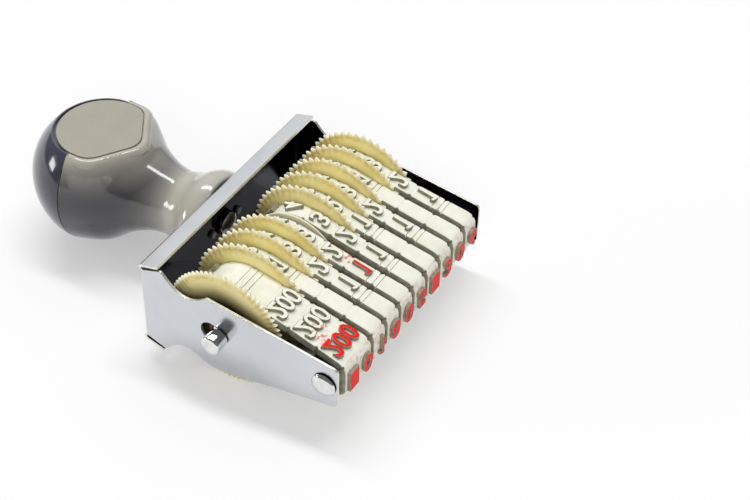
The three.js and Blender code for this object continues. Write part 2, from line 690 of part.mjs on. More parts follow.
place("frame", geometryOf(frameSolid()), "chrome");
place("axle", geometryOf(axleSolid()), "steel");
place("platen_bar", geometryOf(platenSolid()), "steel");
place("guide_disc", geometryOf(guideSolid()), "ivory");
for (let number = 1; number <= WHEEL_COUNT; number++) {
  place(`thumb_wheel_${number}`, geometryOf(wheelSolid(number)), "ivory");
  place(`band_${number}`, bandGeometry(number), "rubber");
}
place("handle_body", geometryOf(handleBodySolid()), "taupe");
place("handle_cap", geometryOf(handleCapSolid()), "slate");
place("label_insert", geometryOf(labelSolid()), "label");
place("handle_screw", geometryOf(screwSolid()), "steel");

// Laid down on the knob's widest place and the wheels' teeth, with its middle over the origin
const dip = Math.asin((KNOB_RADIUS - WHEEL_RADIUS) / (knobReach + AXLE_REACH));
stamp.rotation.x = -dip;
stamp.position.y = (HANDLE_LENGTH - FACE_REACH) / 2;
stamp.position.z = WHEEL_RADIUS + AXLE_REACH * Math.sin(dip);

const part = new THREE.Group();
part.add(stamp);
export default part;
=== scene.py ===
"""A band date stamp lying on its side: its fine surfaces, figures and finishes.

Every piece is drawn in the stamp's own axes, in millimetres: X runs along the axle towards the
near plate, Y from the handle to the printing faces, and Z across the frame. STAMP_TO_ROW then
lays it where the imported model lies.
"""

import json
import logging
import math
from dataclasses import dataclass, field
from enum import Enum, IntEnum
from typing import Iterable, Sequence

import bmesh
import bpy
from mathutils import Matrix, Vector


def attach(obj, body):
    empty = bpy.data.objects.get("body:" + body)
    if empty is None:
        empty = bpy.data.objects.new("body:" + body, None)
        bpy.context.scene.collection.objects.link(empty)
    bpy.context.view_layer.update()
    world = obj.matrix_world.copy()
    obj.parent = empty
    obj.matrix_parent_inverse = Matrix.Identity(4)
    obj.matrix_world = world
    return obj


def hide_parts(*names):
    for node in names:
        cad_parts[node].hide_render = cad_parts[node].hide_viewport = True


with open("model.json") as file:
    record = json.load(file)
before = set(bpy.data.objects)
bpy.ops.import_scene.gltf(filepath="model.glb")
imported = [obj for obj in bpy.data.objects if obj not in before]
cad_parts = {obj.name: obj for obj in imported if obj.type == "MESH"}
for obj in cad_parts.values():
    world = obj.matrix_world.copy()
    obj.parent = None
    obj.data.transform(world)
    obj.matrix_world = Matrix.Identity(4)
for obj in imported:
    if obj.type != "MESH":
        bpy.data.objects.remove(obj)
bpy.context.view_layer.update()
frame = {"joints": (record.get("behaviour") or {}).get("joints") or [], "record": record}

LOG = logging.getLogger("date_stamp")
MM = 0.001
AXLE_Y = 20.0
FACE_Y = 49.2
STAMP = "stamp"
WELD = 1e-4
SHARP_DEGREES = 38.0
NOISE_RANGE = (0.3, 0.7)

Mesh = bmesh.types.BMesh
Vert = bmesh.types.BMVert
Edge = bmesh.types.BMEdge
Face = bmesh.types.BMFace
Piece = bpy.types.Object
Finish = bpy.types.Material
Socket = bpy.types.NodeSocket
Colour = tuple[float, float, float]
Chain = Sequence[tuple[float, ...]]


def placed(at: Vector, across: Vector, along: Vector, up: Vector) -> Matrix:
    """Gives the matrix of axes that stand at a point.

    Args:
        at: The point.
        across: Where the X axis goes.
        along: Where the Y axis goes.
        up: Where the Z axis goes.

    Returns:
        The matrix.
    """
    return Matrix.Translation(at) @ Matrix((across, along, up)).transposed().to_4x4()


def stamp_to_row() -> Matrix:
    """Finds where the stamp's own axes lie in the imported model.

    Returns:
        The matrix from the stamp's millimetres to the row frame's metres.
    """
    label = next(m for m in frame["record"]["mounts"] if m["name"] == "label_face")
    axle = Vector((1, 0, 0))
    up = Vector(label["axis"]).normalized()
    along = up.cross(axle)
    hinge = Vector(frame["joints"][0]["pos_m"])
    return placed(hinge - along * AXLE_Y * MM, axle, along, up) @ Matrix.Scale(MM, 4)


STAMP_TO_ROW = stamp_to_row()


class Slot(Enum):
    """The record's material slots."""

    CHROME = "chrome"
    STEEL = "steel"
    IVORY = "ivory"
    RUBBER = "rubber"
    TAUPE = "taupe"
    SLATE = "slate"
    LABEL = "label"


class DrumSide(Enum):
    """The side of its toothed disc on which a wheel carries its drum and band."""

    NEAR = 1
    FAR = -1


class BandFinish(IntEnum):
    """The places of a band's finishes among its materials."""

    RUBBER = 0
    FIGURE_SHADE = 1
    INK = 2
    SHADED_SIDES = 3


# Finishes


class Wiring:
    """Adds nodes to one tree and joins them."""

    def __init__(self, tree: bpy.types.NodeTree) -> None:
        """Starts with an empty tree."""
        self.tree = tree
        self.tree.nodes.clear()

    def node(self, kind: str, settings: dict | None = None, **inputs: object) -> bpy.types.Node:
        """Adds a node and fills its sockets.

        Args:
            kind: The node's type.
            settings: Values of the node's own properties.
            **inputs: Sockets by name, each given a value or another node's output.

        Returns:
            The node.
        """
        made = self.tree.nodes.new(kind)
        for name, value in (settings or {}).items():
            setattr(made, name, value)
        for name, value in inputs.items():
            self.fill(made.inputs[name.replace("_", " ")], value)
        return made

    def fill(self, socket: Socket, value: object) -> None:
        """Links a socket to another node's output, or sets its value.

        Args:
            socket: The socket.
            value: The output or the value.
        """
        if isinstance(value, Socket):
            self.tree.links.new(value, socket)
        else:
            socket.default_value = value

    def numbered(self, node: bpy.types.Node, values: dict[int, object]) -> bpy.types.Node:
        """Fills sockets of a node by their numbers, where they share a name.

        Args:
            node: The node.
            values: Values or outputs by the sockets' numbers.

        Returns:
            The node.
        """
        for number, value in values.items():
            self.fill(node.inputs[number], value)
        return node

    def combine(self, first: object, second: object, kind: str = "ADD") -> Socket:
        """Joins two numbers by a sum or another step of arithmetic."""
        made = self.node("ShaderNodeMath", {"operation": kind})
        return self.numbered(made, {0: first, 1: second}).outputs[0]

    def spread(self, value: object, low: float, high: float, to_low: float, to_high: float) -> Socket:
        """Maps a range of values to another, and holds it there."""
        ends = {"From_Min": low, "From_Max": high, "To_Min": to_low, "To_Max": to_high}
        return self.node("ShaderNodeMapRange", Value=value, **ends).outputs["Result"]


class Graph(Wiring):
    """Wires one finish, on the piece's own coordinates in millimetres."""

    def __init__(self, name: str, centre: Vector | None = None) -> None:
        """Starts a finish with its shader, its output and its coordinates.

        Args:
            name: The material's name.
            centre: The place in the row frame that the coordinates start from.
        """
        self.material = bpy.data.materials.new(name)
        self.material.use_nodes = True
        super().__init__(self.material.node_tree)
        self.shader = self.node("ShaderNodeBsdfPrincipled")
        self.output = self.node("ShaderNodeOutputMaterial", Surface=self.shader.outputs["BSDF"])
        texture = self.node("ShaderNodeTexCoord").outputs["Object"]
        shift = -(centre or Vector()) / MM
        scale = (1 / MM,) * 3
        mapped = self.node("ShaderNodeMapping", Vector=texture, Location=shift, Scale=scale)
        self.place = mapped.outputs[0]

    def shade(self, **inputs: object) -> None:
        """Fills sockets of the finish's own shader."""
        for name, value in inputs.items():
            self.fill(self.shader.inputs[name.replace("_", " ")], value)

    def noise(self, scale: float, detail: float = 4.0, at: Socket | None = None) -> Socket:
        """Adds noise.

        Args:
            scale: Bumps per millimetre.
            detail: How many finer layers it has.
            at: The coordinates, where they aren't the piece's own.

        Returns:
            The noise, from 0 to 1.
        """
        made = self.node("ShaderNodeTexNoise", Vector=at or self.place, Scale=scale, Detail=detail)
        return made.outputs["Fac"]

    def drift(self, noise: Socket, low: float, high: float) -> Socket:
        """Spreads the usual range of a noise over two values."""
        return self.spread(noise, *NOISE_RANGE, low, high)

    def stretched(self, scale: tuple[float, float, float]) -> Socket:
        """Gives the coordinates scaled by a different amount along each axis."""
        return self.node("ShaderNodeMapping", Vector=self.place, Scale=scale).outputs[0]

    def ramp(self, factor: Socket, *stops: tuple[float, Colour]) -> Socket:
        """Adds a colour ramp.

        Args:
            factor: What the ramp reads.
            *stops: Places from 0 to 1, each with its colour.

        Returns:
            The ramp's colour.
        """
        made = self.node("ShaderNodeValToRGB", Fac=factor)
        elements = made.color_ramp.elements
        while len(elements) < len(stops):
            elements.new(0.5)
        for element, (place, colour) in zip(elements, stops):
            element.position = place
            element.color = (*colour, 1)
        return made.outputs["Color"]

    def mix(self, share: Socket, first: object, second: object) -> Socket:
        """Mixes two colours.

        Args:
            share: The share of the second colour.
            first: The first colour or output.
            second: The second colour or output.

        Returns:
            The mixed colour.
        """
        first, second = ((*tone, 1) if isinstance(tone, tuple) else tone for tone in (first, second))
        made = self.node("ShaderNodeMix", {"data_type": "RGBA"})
        return self.numbered(made, {0: share, 6: first, 7: second}).outputs[2]

    def axis(self, name: str) -> Socket:
        """Gives one coordinate of the place: X, Y or Z."""
        return self.node("ShaderNodeSeparateXYZ", Vector=self.place).outputs[name]

    def radius(self) -> Socket:
        """Gives the distance from the X axis through the coordinates' start, in millimetres."""
        flat = self.stretched((0, 1, 1))
        return self.node("ShaderNodeVectorMath", {"operation": "LENGTH"}, Vector=flat).outputs["Value"]

    def distance(self, point: Vector) -> Socket:
        """Gives the distance from a point, in millimetres."""
        made = self.node("ShaderNodeVectorMath", {"operation": "DISTANCE"})
        return self.numbered(made, {0: self.place, 1: point}).outputs["Value"]

    def bump(self, height: Socket, depth: float) -> None:
        """Gives the surface a fine relief.

        Args:
            height: The relief, from 0 to 1.
            depth: Its depth in millimetres.
        """
        made = self.node("ShaderNodeBump", Height=height, Distance=depth * MM, Strength=1.0)
        self.shade(Normal=made.outputs["Normal"])


def linear(red: int, green: int, blue: int) -> Colour:
    """Turns a colour from the screen's 0 to 255 into the linear values that shaders take.

    Args:
        red: Its red part.
        green: Its green part.
        blue: Its blue part.

    Returns:
        The linear colour.
    """
    shares = (value / 255 for value in (red, green, blue))
    return tuple(s / 12.92 if s <= 0.04045 else ((s + 0.055) / 1.055) ** 2.4 for s in shares)


@dataclass(frozen=True)
class PlatedSheet:
    """Bright plated sheet steel: a mirror with faint smudges and hairlines."""

    name: str = "plated_sheet"
    colour: Colour = linear(213, 216, 219)
    smudged: Colour = linear(203, 206, 210)
    roughness: float = 0.16
    metallic: float = 1.0
    hair_scale: tuple = (0.4, 0.35, 9.0)
    hair_roughness: float = 0.05
    relief: float = 0.004

    def make(self) -> Finish:
        """Builds the finish.

        Returns:
            The finish's material.
        """
        graph = Graph(self.name)
        cloud = graph.noise(0.09, 6)
        hairs = graph.noise(1.0, 2, graph.stretched(self.hair_scale))
        smooth = graph.spread(cloud, 0.3, 0.75, self.roughness, self.roughness * 1.6)
        graph.shade(
            Base_Color=graph.ramp(cloud, (0.35, self.smudged), (0.65, self.colour)),
            Metallic=self.metallic,
            Roughness=graph.combine(smooth, graph.spread(hairs, 0.5, 0.9, 0.0, self.hair_roughness)),
        )
        graph.bump(graph.noise(0.35, 2), self.relief)
        return graph.material


@dataclass(frozen=True)
class TurnedSteel:
    """Bright steel turned on a lathe: fine rings round the piece, and a faint haze."""

    name: str = "turned_steel"
    colour: Colour = linear(232, 233, 232)
    dull: Colour = linear(214, 215, 214)
    ring_scale: float = 2.2
    ring_depth: float = 0.002

    def make(self, centre: Vector) -> Finish:
        """Builds the finish round an axis along X.

        Args:
            centre: A point on the axis, in the row frame.

        Returns:
            The finish's material.
        """
        graph = Graph(self.name, centre)
        haze = graph.noise(0.5, 4)
        waves = {"Vector": graph.place, "Scale": self.ring_scale, "Distortion": 0.4}
        rings = graph.node("ShaderNodeTexWave", {"bands_direction": "X"}, **waves)
        graph.shade(
            Base_Color=graph.ramp(haze, (0.3, self.dull), (0.6, self.colour)),
            Metallic=1.0,
            Roughness=graph.drift(haze, 0.13, 0.07),
        )
        graph.bump(rings.outputs["Fac"], self.ring_depth)
        return graph.material


@dataclass(frozen=True)
class MouldedIvory:
    """Yellowed ivory plastic of the thumb wheels: a painted highlight paling the tips, dirt and painted
    shade at the roots, and painted shade darkening the middle.

    Where a tone comes in is given as two distances from the teeth's tips or roots.
    """

    name: str = "moulded_ivory"
    colour: Colour = linear(254, 243, 178)
    worn: Colour = linear(250, 233, 154)
    # Painted highlight: the near-white tone that the teeth's tips pale to.
    tip: Colour = linear(254, 252, 232)
    # Dirt and painted shade: the darker gold of the tooth roots.
    root_dirt_and_shade: Colour = linear(198, 168, 92)
    # Painted shade: the dark tone at the wheel's middle, where it is seen through the plate's keyhole.
    hub_shade: Colour = linear(62, 54, 38)
    hub_shade_radius: float = 4.4
    hub_shade_fade: float = 2.0
    root_radius: float = 12.6
    tip_radius: float = 14.5
    tip_highlight_fade: tuple = (-1.3, -0.2)
    tip_highlight_share: float = 0.95
    root_fade: tuple = (-0.3, 0.5)
    root_share: float = 0.6
    crown_fade: tuple = (0.7, -0.5)

    def make(self, centre: Vector) -> Finish:
        """Builds the finish for wheels that turn round an axis along X.

        Args:
            centre: A point on the axis, in the row frame.

        Returns:
            The finish's material.
        """
        graph = Graph(self.name, centre)
        cloud = graph.noise(0.22, 5)
        body = graph.ramp(cloud, (0.3, self.worn), (0.65, self.colour))
        height = graph.radius()
        # Painted highlight: the colour pales towards the teeth's tips.
        tip_highlight_ends = (self.tip_radius + fade for fade in self.tip_highlight_fade)
        tip_highlighted = graph.mix(graph.spread(height, *tip_highlight_ends, 0.0, self.tip_highlight_share), body, self.tip)
        # Dirt and painted shade: patches darken the teeth just above their roots, fading out towards the
        # tips.
        root_ends = (self.root_radius + fade for fade in self.root_fade)
        roots = graph.spread(height, *root_ends, 0.0, self.root_share)
        crown_low, crown_high = self.crown_fade
        crown_ends = (self.root_radius + crown_low, self.tip_radius + crown_high)
        crowns = graph.spread(height, *crown_ends, 1.0, 0.0)
        patches = graph.spread(graph.noise(0.9, 4), 0.35, 0.7, 0.2, 1.0)
        root_dirt_and_shade_mask = graph.combine(graph.combine(roots, crowns, "MULTIPLY"), patches, "MULTIPLY")
        # Painted shade: the colour darkens towards the axle, inside the hub's radius.
        middle = graph.spread(height, self.hub_shade_radius, self.hub_shade_radius + self.hub_shade_fade, 1.0, 0.0)
        hub_shaded = graph.mix(middle, tip_highlighted, self.hub_shade)
        graph.shade(
            Base_Color=graph.mix(root_dirt_and_shade_mask, hub_shaded, self.root_dirt_and_shade),
            Roughness=graph.drift(cloud, 0.32, 0.46),
            Subsurface_Weight=0.15,
            Subsurface_Radius=(0.0012, 0.0009, 0.0005),
            Subsurface_Scale=1.0,
        )
        graph.bump(graph.noise(3.0, 3), 0.01)
        return graph.material


@dataclass(frozen=True)
class BandRubber:
    """Pale rubber of the bands, softly mottled, with red smears near the printing faces.

    A spot is a place in the stamp's axes and the reach of its smears.
    """

    colour: Colour = linear(239, 239, 221)
    pale: Colour = linear(248, 249, 236)
    ink: Colour = linear(226, 60, 60)
    spots: tuple = (((2.6, 34.2, 8.0), 3.0), ((23.0, 41.0, 6.4), 3.6))
    spot_share: float = 0.75
    face_fade: tuple = (-1.0, 0.6)
    face_share: float = 0.5

    def make(self, face: Vector) -> Finish:
        """Builds the finish.

        Args:
            face: The point on the printing faces that the smears gather towards.

        Returns:
            The finish's material.
        """
        graph = Graph("band_rubber", face)
        cloud = graph.noise(0.3, 6)
        body = graph.ramp(cloud, (0.32, self.colour), (0.62, self.pale))
        patches = graph.spread(graph.noise(0.9, 6), 0.53, 0.6, 0.0, 1.0)
        near = graph.spread(graph.axis("Y"), *self.face_fade, 0.0, self.face_share)
        for centre, reach in self.spots:
            away = graph.distance((STAMP_TO_ROW @ Vector(centre) - face) / MM)
            close = graph.spread(away, reach / 2, reach, self.spot_share, 0.0)
            near = graph.combine(near, close, "MAXIMUM")
        smear = graph.combine(patches, near, "MULTIPLY")
        graph.shade(
            Base_Color=graph.mix(smear, body, self.ink),
            Roughness=graph.drift(cloud, 0.5, 0.65),
            Specular_IOR_Level=0.35,
        )
        graph.bump(graph.noise(2.4, 4), 0.012)
        return graph.material


@dataclass(frozen=True)
class ShadedGrimyRubber:
    """Darker rubber that paints shade, with some grime: on the bands' sides with their notches and on
    their undersides, and on the figures' steep sides.
    """

    name: str = "shaded_grimy_rubber"
    colour: Colour = linear(180, 178, 158)
    dark: Colour = linear(146, 144, 126)
    cloud_scale: float = 0.8
    pale_from: float = 0.68
    smoothest: float = 0.6
    roughest: float = 0.75
    grain_scale: float = 4.0

    def make(self) -> Finish:
        """Builds the finish.

        Returns:
            The finish's material.
        """
        graph = Graph(self.name)
        cloud = graph.noise(self.cloud_scale, 5)
        graph.shade(
            Base_Color=graph.ramp(cloud, (0.35, self.dark), (self.pale_from, self.colour)),
            Roughness=graph.drift(cloud, self.smoothest, self.roughest),
        )
        graph.bump(graph.noise(self.grain_scale, 3), 0.02)
        return graph.material


@dataclass(frozen=True)
class StampInk:
    """Wet red ink on the figures, thin in places so that the rubber shows."""

    colour: Colour = linear(250, 10, 20)
    deep: Colour = linear(234, 6, 16)
    thin: Colour = linear(250, 76, 72)

    def make(self) -> Finish:
        """Builds the finish.

        Returns:
            The finish's material.
        """
        graph = Graph("stamp_ink")
        cloud = graph.noise(1.1, 6)
        stops = ((0.3, self.deep), (0.48, self.colour), (0.66, self.colour), (0.8, self.thin))
        graph.shade(
            Base_Color=graph.ramp(cloud, *stops),
            Roughness=graph.drift(cloud, 0.35, 0.55),
            Specular_IOR_Level=0.15,
        )
        graph.bump(graph.noise(3.0, 4), 0.03)
        return graph.material


@dataclass(frozen=True)
class GlossPlastic:
    """Glossy smoked plastic with faint mottling and fine scratches, and painted shade: it darkens low on
    the knob, cap included, and on the pegs past the web.

    Heights are along Z and places along Y, in the row frame's millimetres.
    """

    name: str
    colour: Colour
    shade_colour: Colour
    # Painted shade: the dark tone taken low on the knob and on the pegs.
    deep: Colour
    roughness: float = 0.12
    painted_shade_heights: tuple = (17.8, 28.7)
    painted_shade_neck_places: tuple = (-22.0, -9.0)
    painted_shade_web_places: tuple = (0.0, 0.3)
    painted_shade_contrast: float = 2.2
    scratch_scale: tuple = (3.5, 0.25, 1.2)

    def make(self) -> Finish:
        """Builds the finish.

        Returns:
            The finish's material.
        """
        graph = Graph(self.name)
        cloud = graph.noise(0.12, 5)
        scratches = graph.noise(1.0, 3, graph.stretched(self.scratch_scale))
        body = graph.ramp(cloud, (0.3, self.shade_colour), (0.68, self.colour))
        # Painted shade: darker lower on the knob, lifted towards the waist, and dark on the pegs past the
        # web.
        top = graph.spread(graph.axis("Z"), *self.painted_shade_heights, 0.0, 1.0)
        neck = graph.spread(graph.axis("Y"), *self.painted_shade_neck_places, 0.0, 1.0)
        outside = graph.spread(graph.axis("Y"), *self.painted_shade_web_places, 1.0, 0.0)
        lit = graph.combine(graph.combine(top, neck, "MAXIMUM"), self.painted_shade_contrast, "POWER")
        bright = graph.combine(lit, outside, "MULTIPLY")
        smooth = graph.drift(cloud, self.roughness, self.roughness * 1.5)
        graph.shade(
            Base_Color=graph.mix(bright, self.deep, body),
            Roughness=graph.combine(smooth, graph.spread(scratches, 0.55, 0.8, 0.0, 0.1)),
            Coat_Weight=0.5,
            Coat_Roughness=0.05,
        )
        graph.bump(graph.noise(0.4, 3), 0.035)
        return graph.material


@dataclass(frozen=True)
class SatinLabel:
    """Satin label insert: even, slightly pearly, with a fine grain."""

    colour: Colour = linear(160, 156, 143)
    pale: Colour = linear(164, 160, 147)

    def make(self) -> Finish:
        """Builds the finish.

        Returns:
            The finish's material.
        """
        graph = Graph("satin_label")
        cloud = graph.noise(0.2, 5)
        grain = graph.noise(6.0, 2)
        graph.shade(
            Base_Color=graph.ramp(cloud, (0.35, self.colour), (0.65, self.pale)),
            Metallic=0.2,
            Roughness=graph.drift(grain, 0.32, 0.42),
        )
        graph.bump(grain, 0.006)
        return graph.material


# Shared shaping


def rounded(corners: Chain, steps: int = 10) -> list[Vector]:
    """Rounds the inner corners of an open chain.

    Args:
        corners: Corners of the chain, each with the length that its rounding takes, if it has one.
        steps: Steps round a rounded corner.

    Returns:
        The chain's points, flat.
    """
    points = []
    for i, corner in enumerate(corners):
        here = Vector(corner[:2])
        ease = corner[2] if len(corner) > 2 else 0.0
        if not ease:
            points.append(here)
            continue
        start = here + (Vector(corners[i - 1][:2]) - here).normalized() * ease
        end = here + (Vector(corners[i + 1][:2]) - here).normalized() * ease
        for step in range(steps + 1):
            t = step / steps
            points.append(start * (1 - t) ** 2 + here * 2 * t * (1 - t) + end * t**2)
    return points


def arc(centre: tuple[float, float], radius: float, start: float, end: float, steps: int) -> list[Vector]:
    """Gives points on an arc.

    Args:
        centre: The arc's centre.
        radius: Its radius.
        start: The angle that it starts at, in degrees.
        end: The angle that it ends at.
        steps: Its steps.

    Returns:
        The arc's points, flat.
    """
    angles = (math.radians(start + (end - start) * i / steps) for i in range(steps + 1))
    return [Vector((centre[0] + radius * math.cos(a), centre[1] + radius * math.sin(a))) for a in angles]


def closest_on(at: Vector, start: Vector, end: Vector) -> Vector:
    """Finds the point of a straight side that is closest to a point, all flat.

    Args:
        at: The point.
        start: One end of the side.
        end: Its other end.

    Returns:
        The closest point.
    """
    side = end - start
    share = (at - start).dot(side) / max(side.length_squared, 1e-12)
    return start + side * min(1.0, max(0.0, share))


def smooth_line(points: Chain, each: int) -> list[tuple[float, ...]]:
    """Draws a smooth line through points by splines.

    Args:
        points: The points.
        each: Steps between two points.

    Returns:
        The line's points.
    """
    made = []
    for i in range(len(points) - 1):
        a, b = Vector(points[max(0, i - 1)]), Vector(points[i])
        c, d = Vector(points[i + 1]), Vector(points[min(len(points) - 1, i + 2)])
        for step in range(each):
            t = step / each
            curve = 2 * b + (c - a) * t + (2 * a - 5 * b + 4 * c - d) * t**2
            made.append(tuple((curve + (3 * b - a - 3 * c + d) * t**3) / 2))
    made.append(tuple(points[-1]))
    return made


def only(kind: type, items: Iterable[object]) -> list:
    """Picks the vertices, edges or faces out of what an operator made."""
    return [item for item in items if isinstance(item, kind)]


def corners_of(parts: Iterable[Edge | Face]) -> list[Vert]:
    """Gives the vertices of edges or faces, each once and in the order they come."""
    return list(dict.fromkeys(vert for part in parts for vert in part.verts))


def whole(bm: Mesh) -> list:
    """Gives everything that a mesh holds."""
    return bm.verts[:] + bm.edges[:] + bm.faces[:]


def chain(bm: Mesh, points: Iterable[Sequence[float]], closed: bool = False) -> list[Edge]:
    """Draws a chain of edges through points.

    Args:
        bm: The mesh to draw in.
        points: The points.
        closed: Whether the last point joins the first.

    Returns:
        The chain's edges.
    """
    verts = [bm.verts.new(point) for point in points]
    edges = [bm.edges.new(pair) for pair in zip(verts, verts[1:])]
    if closed:
        edges.append(bm.edges.new((verts[-1], verts[0])))
    return edges


def turned(profile: Iterable[tuple[float, float]], steps: int, axis: str, centre: Vector) -> Mesh:
    """Turns a profile round an axis, as a lathe does.

    Args:
        profile: Points as (radius, place along the axis); it closes on itself or ends on the axis.
        steps: Steps round the full turn.
        axis: X or Y.
        centre: A point on the axis.

    Returns:
        The turned mesh.
    """
    bm = bmesh.new()
    along = Vector((1, 0, 0)) if axis == "X" else Vector((0, 1, 0))
    up = Vector((0, 0, 1))
    edges = chain(bm, (centre + along * place + up * radius for radius, place in profile))
    full = {"cent": centre, "axis": along, "angle": math.tau, "steps": steps, "use_merge": True}
    bmesh.ops.spin(bm, geom=edges + corners_of(edges), **full)
    bmesh.ops.remove_doubles(bm, verts=bm.verts, dist=WELD)
    bmesh.ops.recalc_face_normals(bm, faces=bm.faces)
    return bm


def drawn_out(outline: Iterable[Sequence[float]], reach: Sequence[float]) -> Mesh:
    """Draws a flat outline out to a closed solid.

    Args:
        outline: The outline's points.
        reach: How far it is drawn out, and in which direction.

    Returns:
        The solid.
    """
    bm = bmesh.new()
    face = bm.faces.new([bm.verts.new(point) for point in outline])
    made = bmesh.ops.extrude_face_region(bm, geom=[face])["geom"]
    bmesh.ops.translate(bm, verts=only(Vert, made), vec=reach)
    bmesh.ops.recalc_face_normals(bm, faces=bm.faces)
    return bm


def cut_off(bm: Mesh, at: Sequence[float], side: Sequence[float]) -> list[Edge]:
    """Cuts a mesh by a plane and drops what lies beyond it.

    Args:
        bm: The mesh.
        at: A point on the plane.
        side: The direction that is dropped.

    Returns:
        The edges along the cut.
    """
    made = bmesh.ops.bisect_plane(bm, geom=whole(bm), plane_co=at, plane_no=side, clear_outer=True)
    return only(Edge, made["geom_cut"])


def add(bm: Mesh, part: Mesh) -> None:
    """Adds a part to a mesh, and frees the part.

    Args:
        bm: The mesh.
        part: The part.
    """
    mesh = bpy.data.meshes.new("part")
    part.to_mesh(mesh)
    part.free()
    bm.from_mesh(mesh)
    bpy.data.meshes.remove(mesh)


def bevelled(bm: Mesh, width: float, segments: int = 2, degrees: float = 30.0) -> None:
    """Bevels every edge of a mesh that is sharper than an angle.

    Args:
        bm: The mesh.
        width: The bevel's width in millimetres.
        segments: Its segments.
        degrees: The least angle of an edge that is bevelled.
    """
    sharp = [e for e in bm.edges if e.is_manifold and e.calc_face_angle(0.0) > math.radians(degrees)]
    bmesh.ops.bevel(
        bm,
        geom=sharp,
        offset=width,
        offset_type="OFFSET",
        affect="EDGES",
        segments=segments,
        profile=0.5,
        material=-1,
        clamp_overlap=True,
    )


@dataclass(frozen=True)
class Edging:
    """Rounded edges that a modifier gives a piece: width in millimetres, and segments."""

    width: float
    segments: int = 3
    degrees: float = 40.0


def finished(
    bm: Mesh,
    name: str,
    finishes: Sequence[Finish],
    slot: Slot,
    replaced: Sequence[str] = (),
    body: str = STAMP,
    edging: Edging | None = None,
    wall: float = 0.0,
) -> Piece:
    """Turns a mesh drawn in the stamp's axes into a piece that rides on its body.

    Args:
        bm: The mesh, which is freed.
        name: The piece's name.
        finishes: Its materials.
        slot: The record's slot that it takes its finish from; not used.
        replaced: CAD nodes that it stands for.
        body: The body that it rides on.
        edging: Its rounded edges, if a modifier makes them.
        wall: The wall's thickness, if a modifier gives it one.

    Returns:
        The piece.
    """
    bmesh.ops.remove_doubles(bm, verts=bm.verts, dist=WELD)
    bm.transform(STAMP_TO_ROW)
    mesh = bpy.data.meshes.new(name)
    bm.to_mesh(mesh)
    bm.free()
    for finish in finishes:
        mesh.materials.append(finish)
    mesh.shade_smooth()
    if edging is None:
        mesh.set_sharp_from_angle(angle=math.radians(SHARP_DEGREES))
    piece = bpy.data.objects.new(name, mesh)
    bpy.context.scene.collection.objects.link(piece)
    if wall:
        solid = piece.modifiers.new("wall", "SOLIDIFY")
        solid.thickness = wall * MM
        solid.offset = -1
        solid.use_even_offset = True
        solid.material_offset = len(finishes) - 1
        solid.material_offset_rim = len(finishes) - 2
    if edging:
        bevel = piece.modifiers.new("edges", "BEVEL")
        bevel.width = edging.width * MM
        bevel.segments = edging.segments
        bevel.limit_method = "ANGLE"
        bevel.angle_limit = math.radians(edging.degrees)
        bevel.harden_normals = True
    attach(piece, body)
    if replaced:
        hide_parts(*replaced)
    LOG.info("%s rides on %s, %d faces", name, body, len(mesh.polygons))
    return piece


# Frame, axle and platen bar


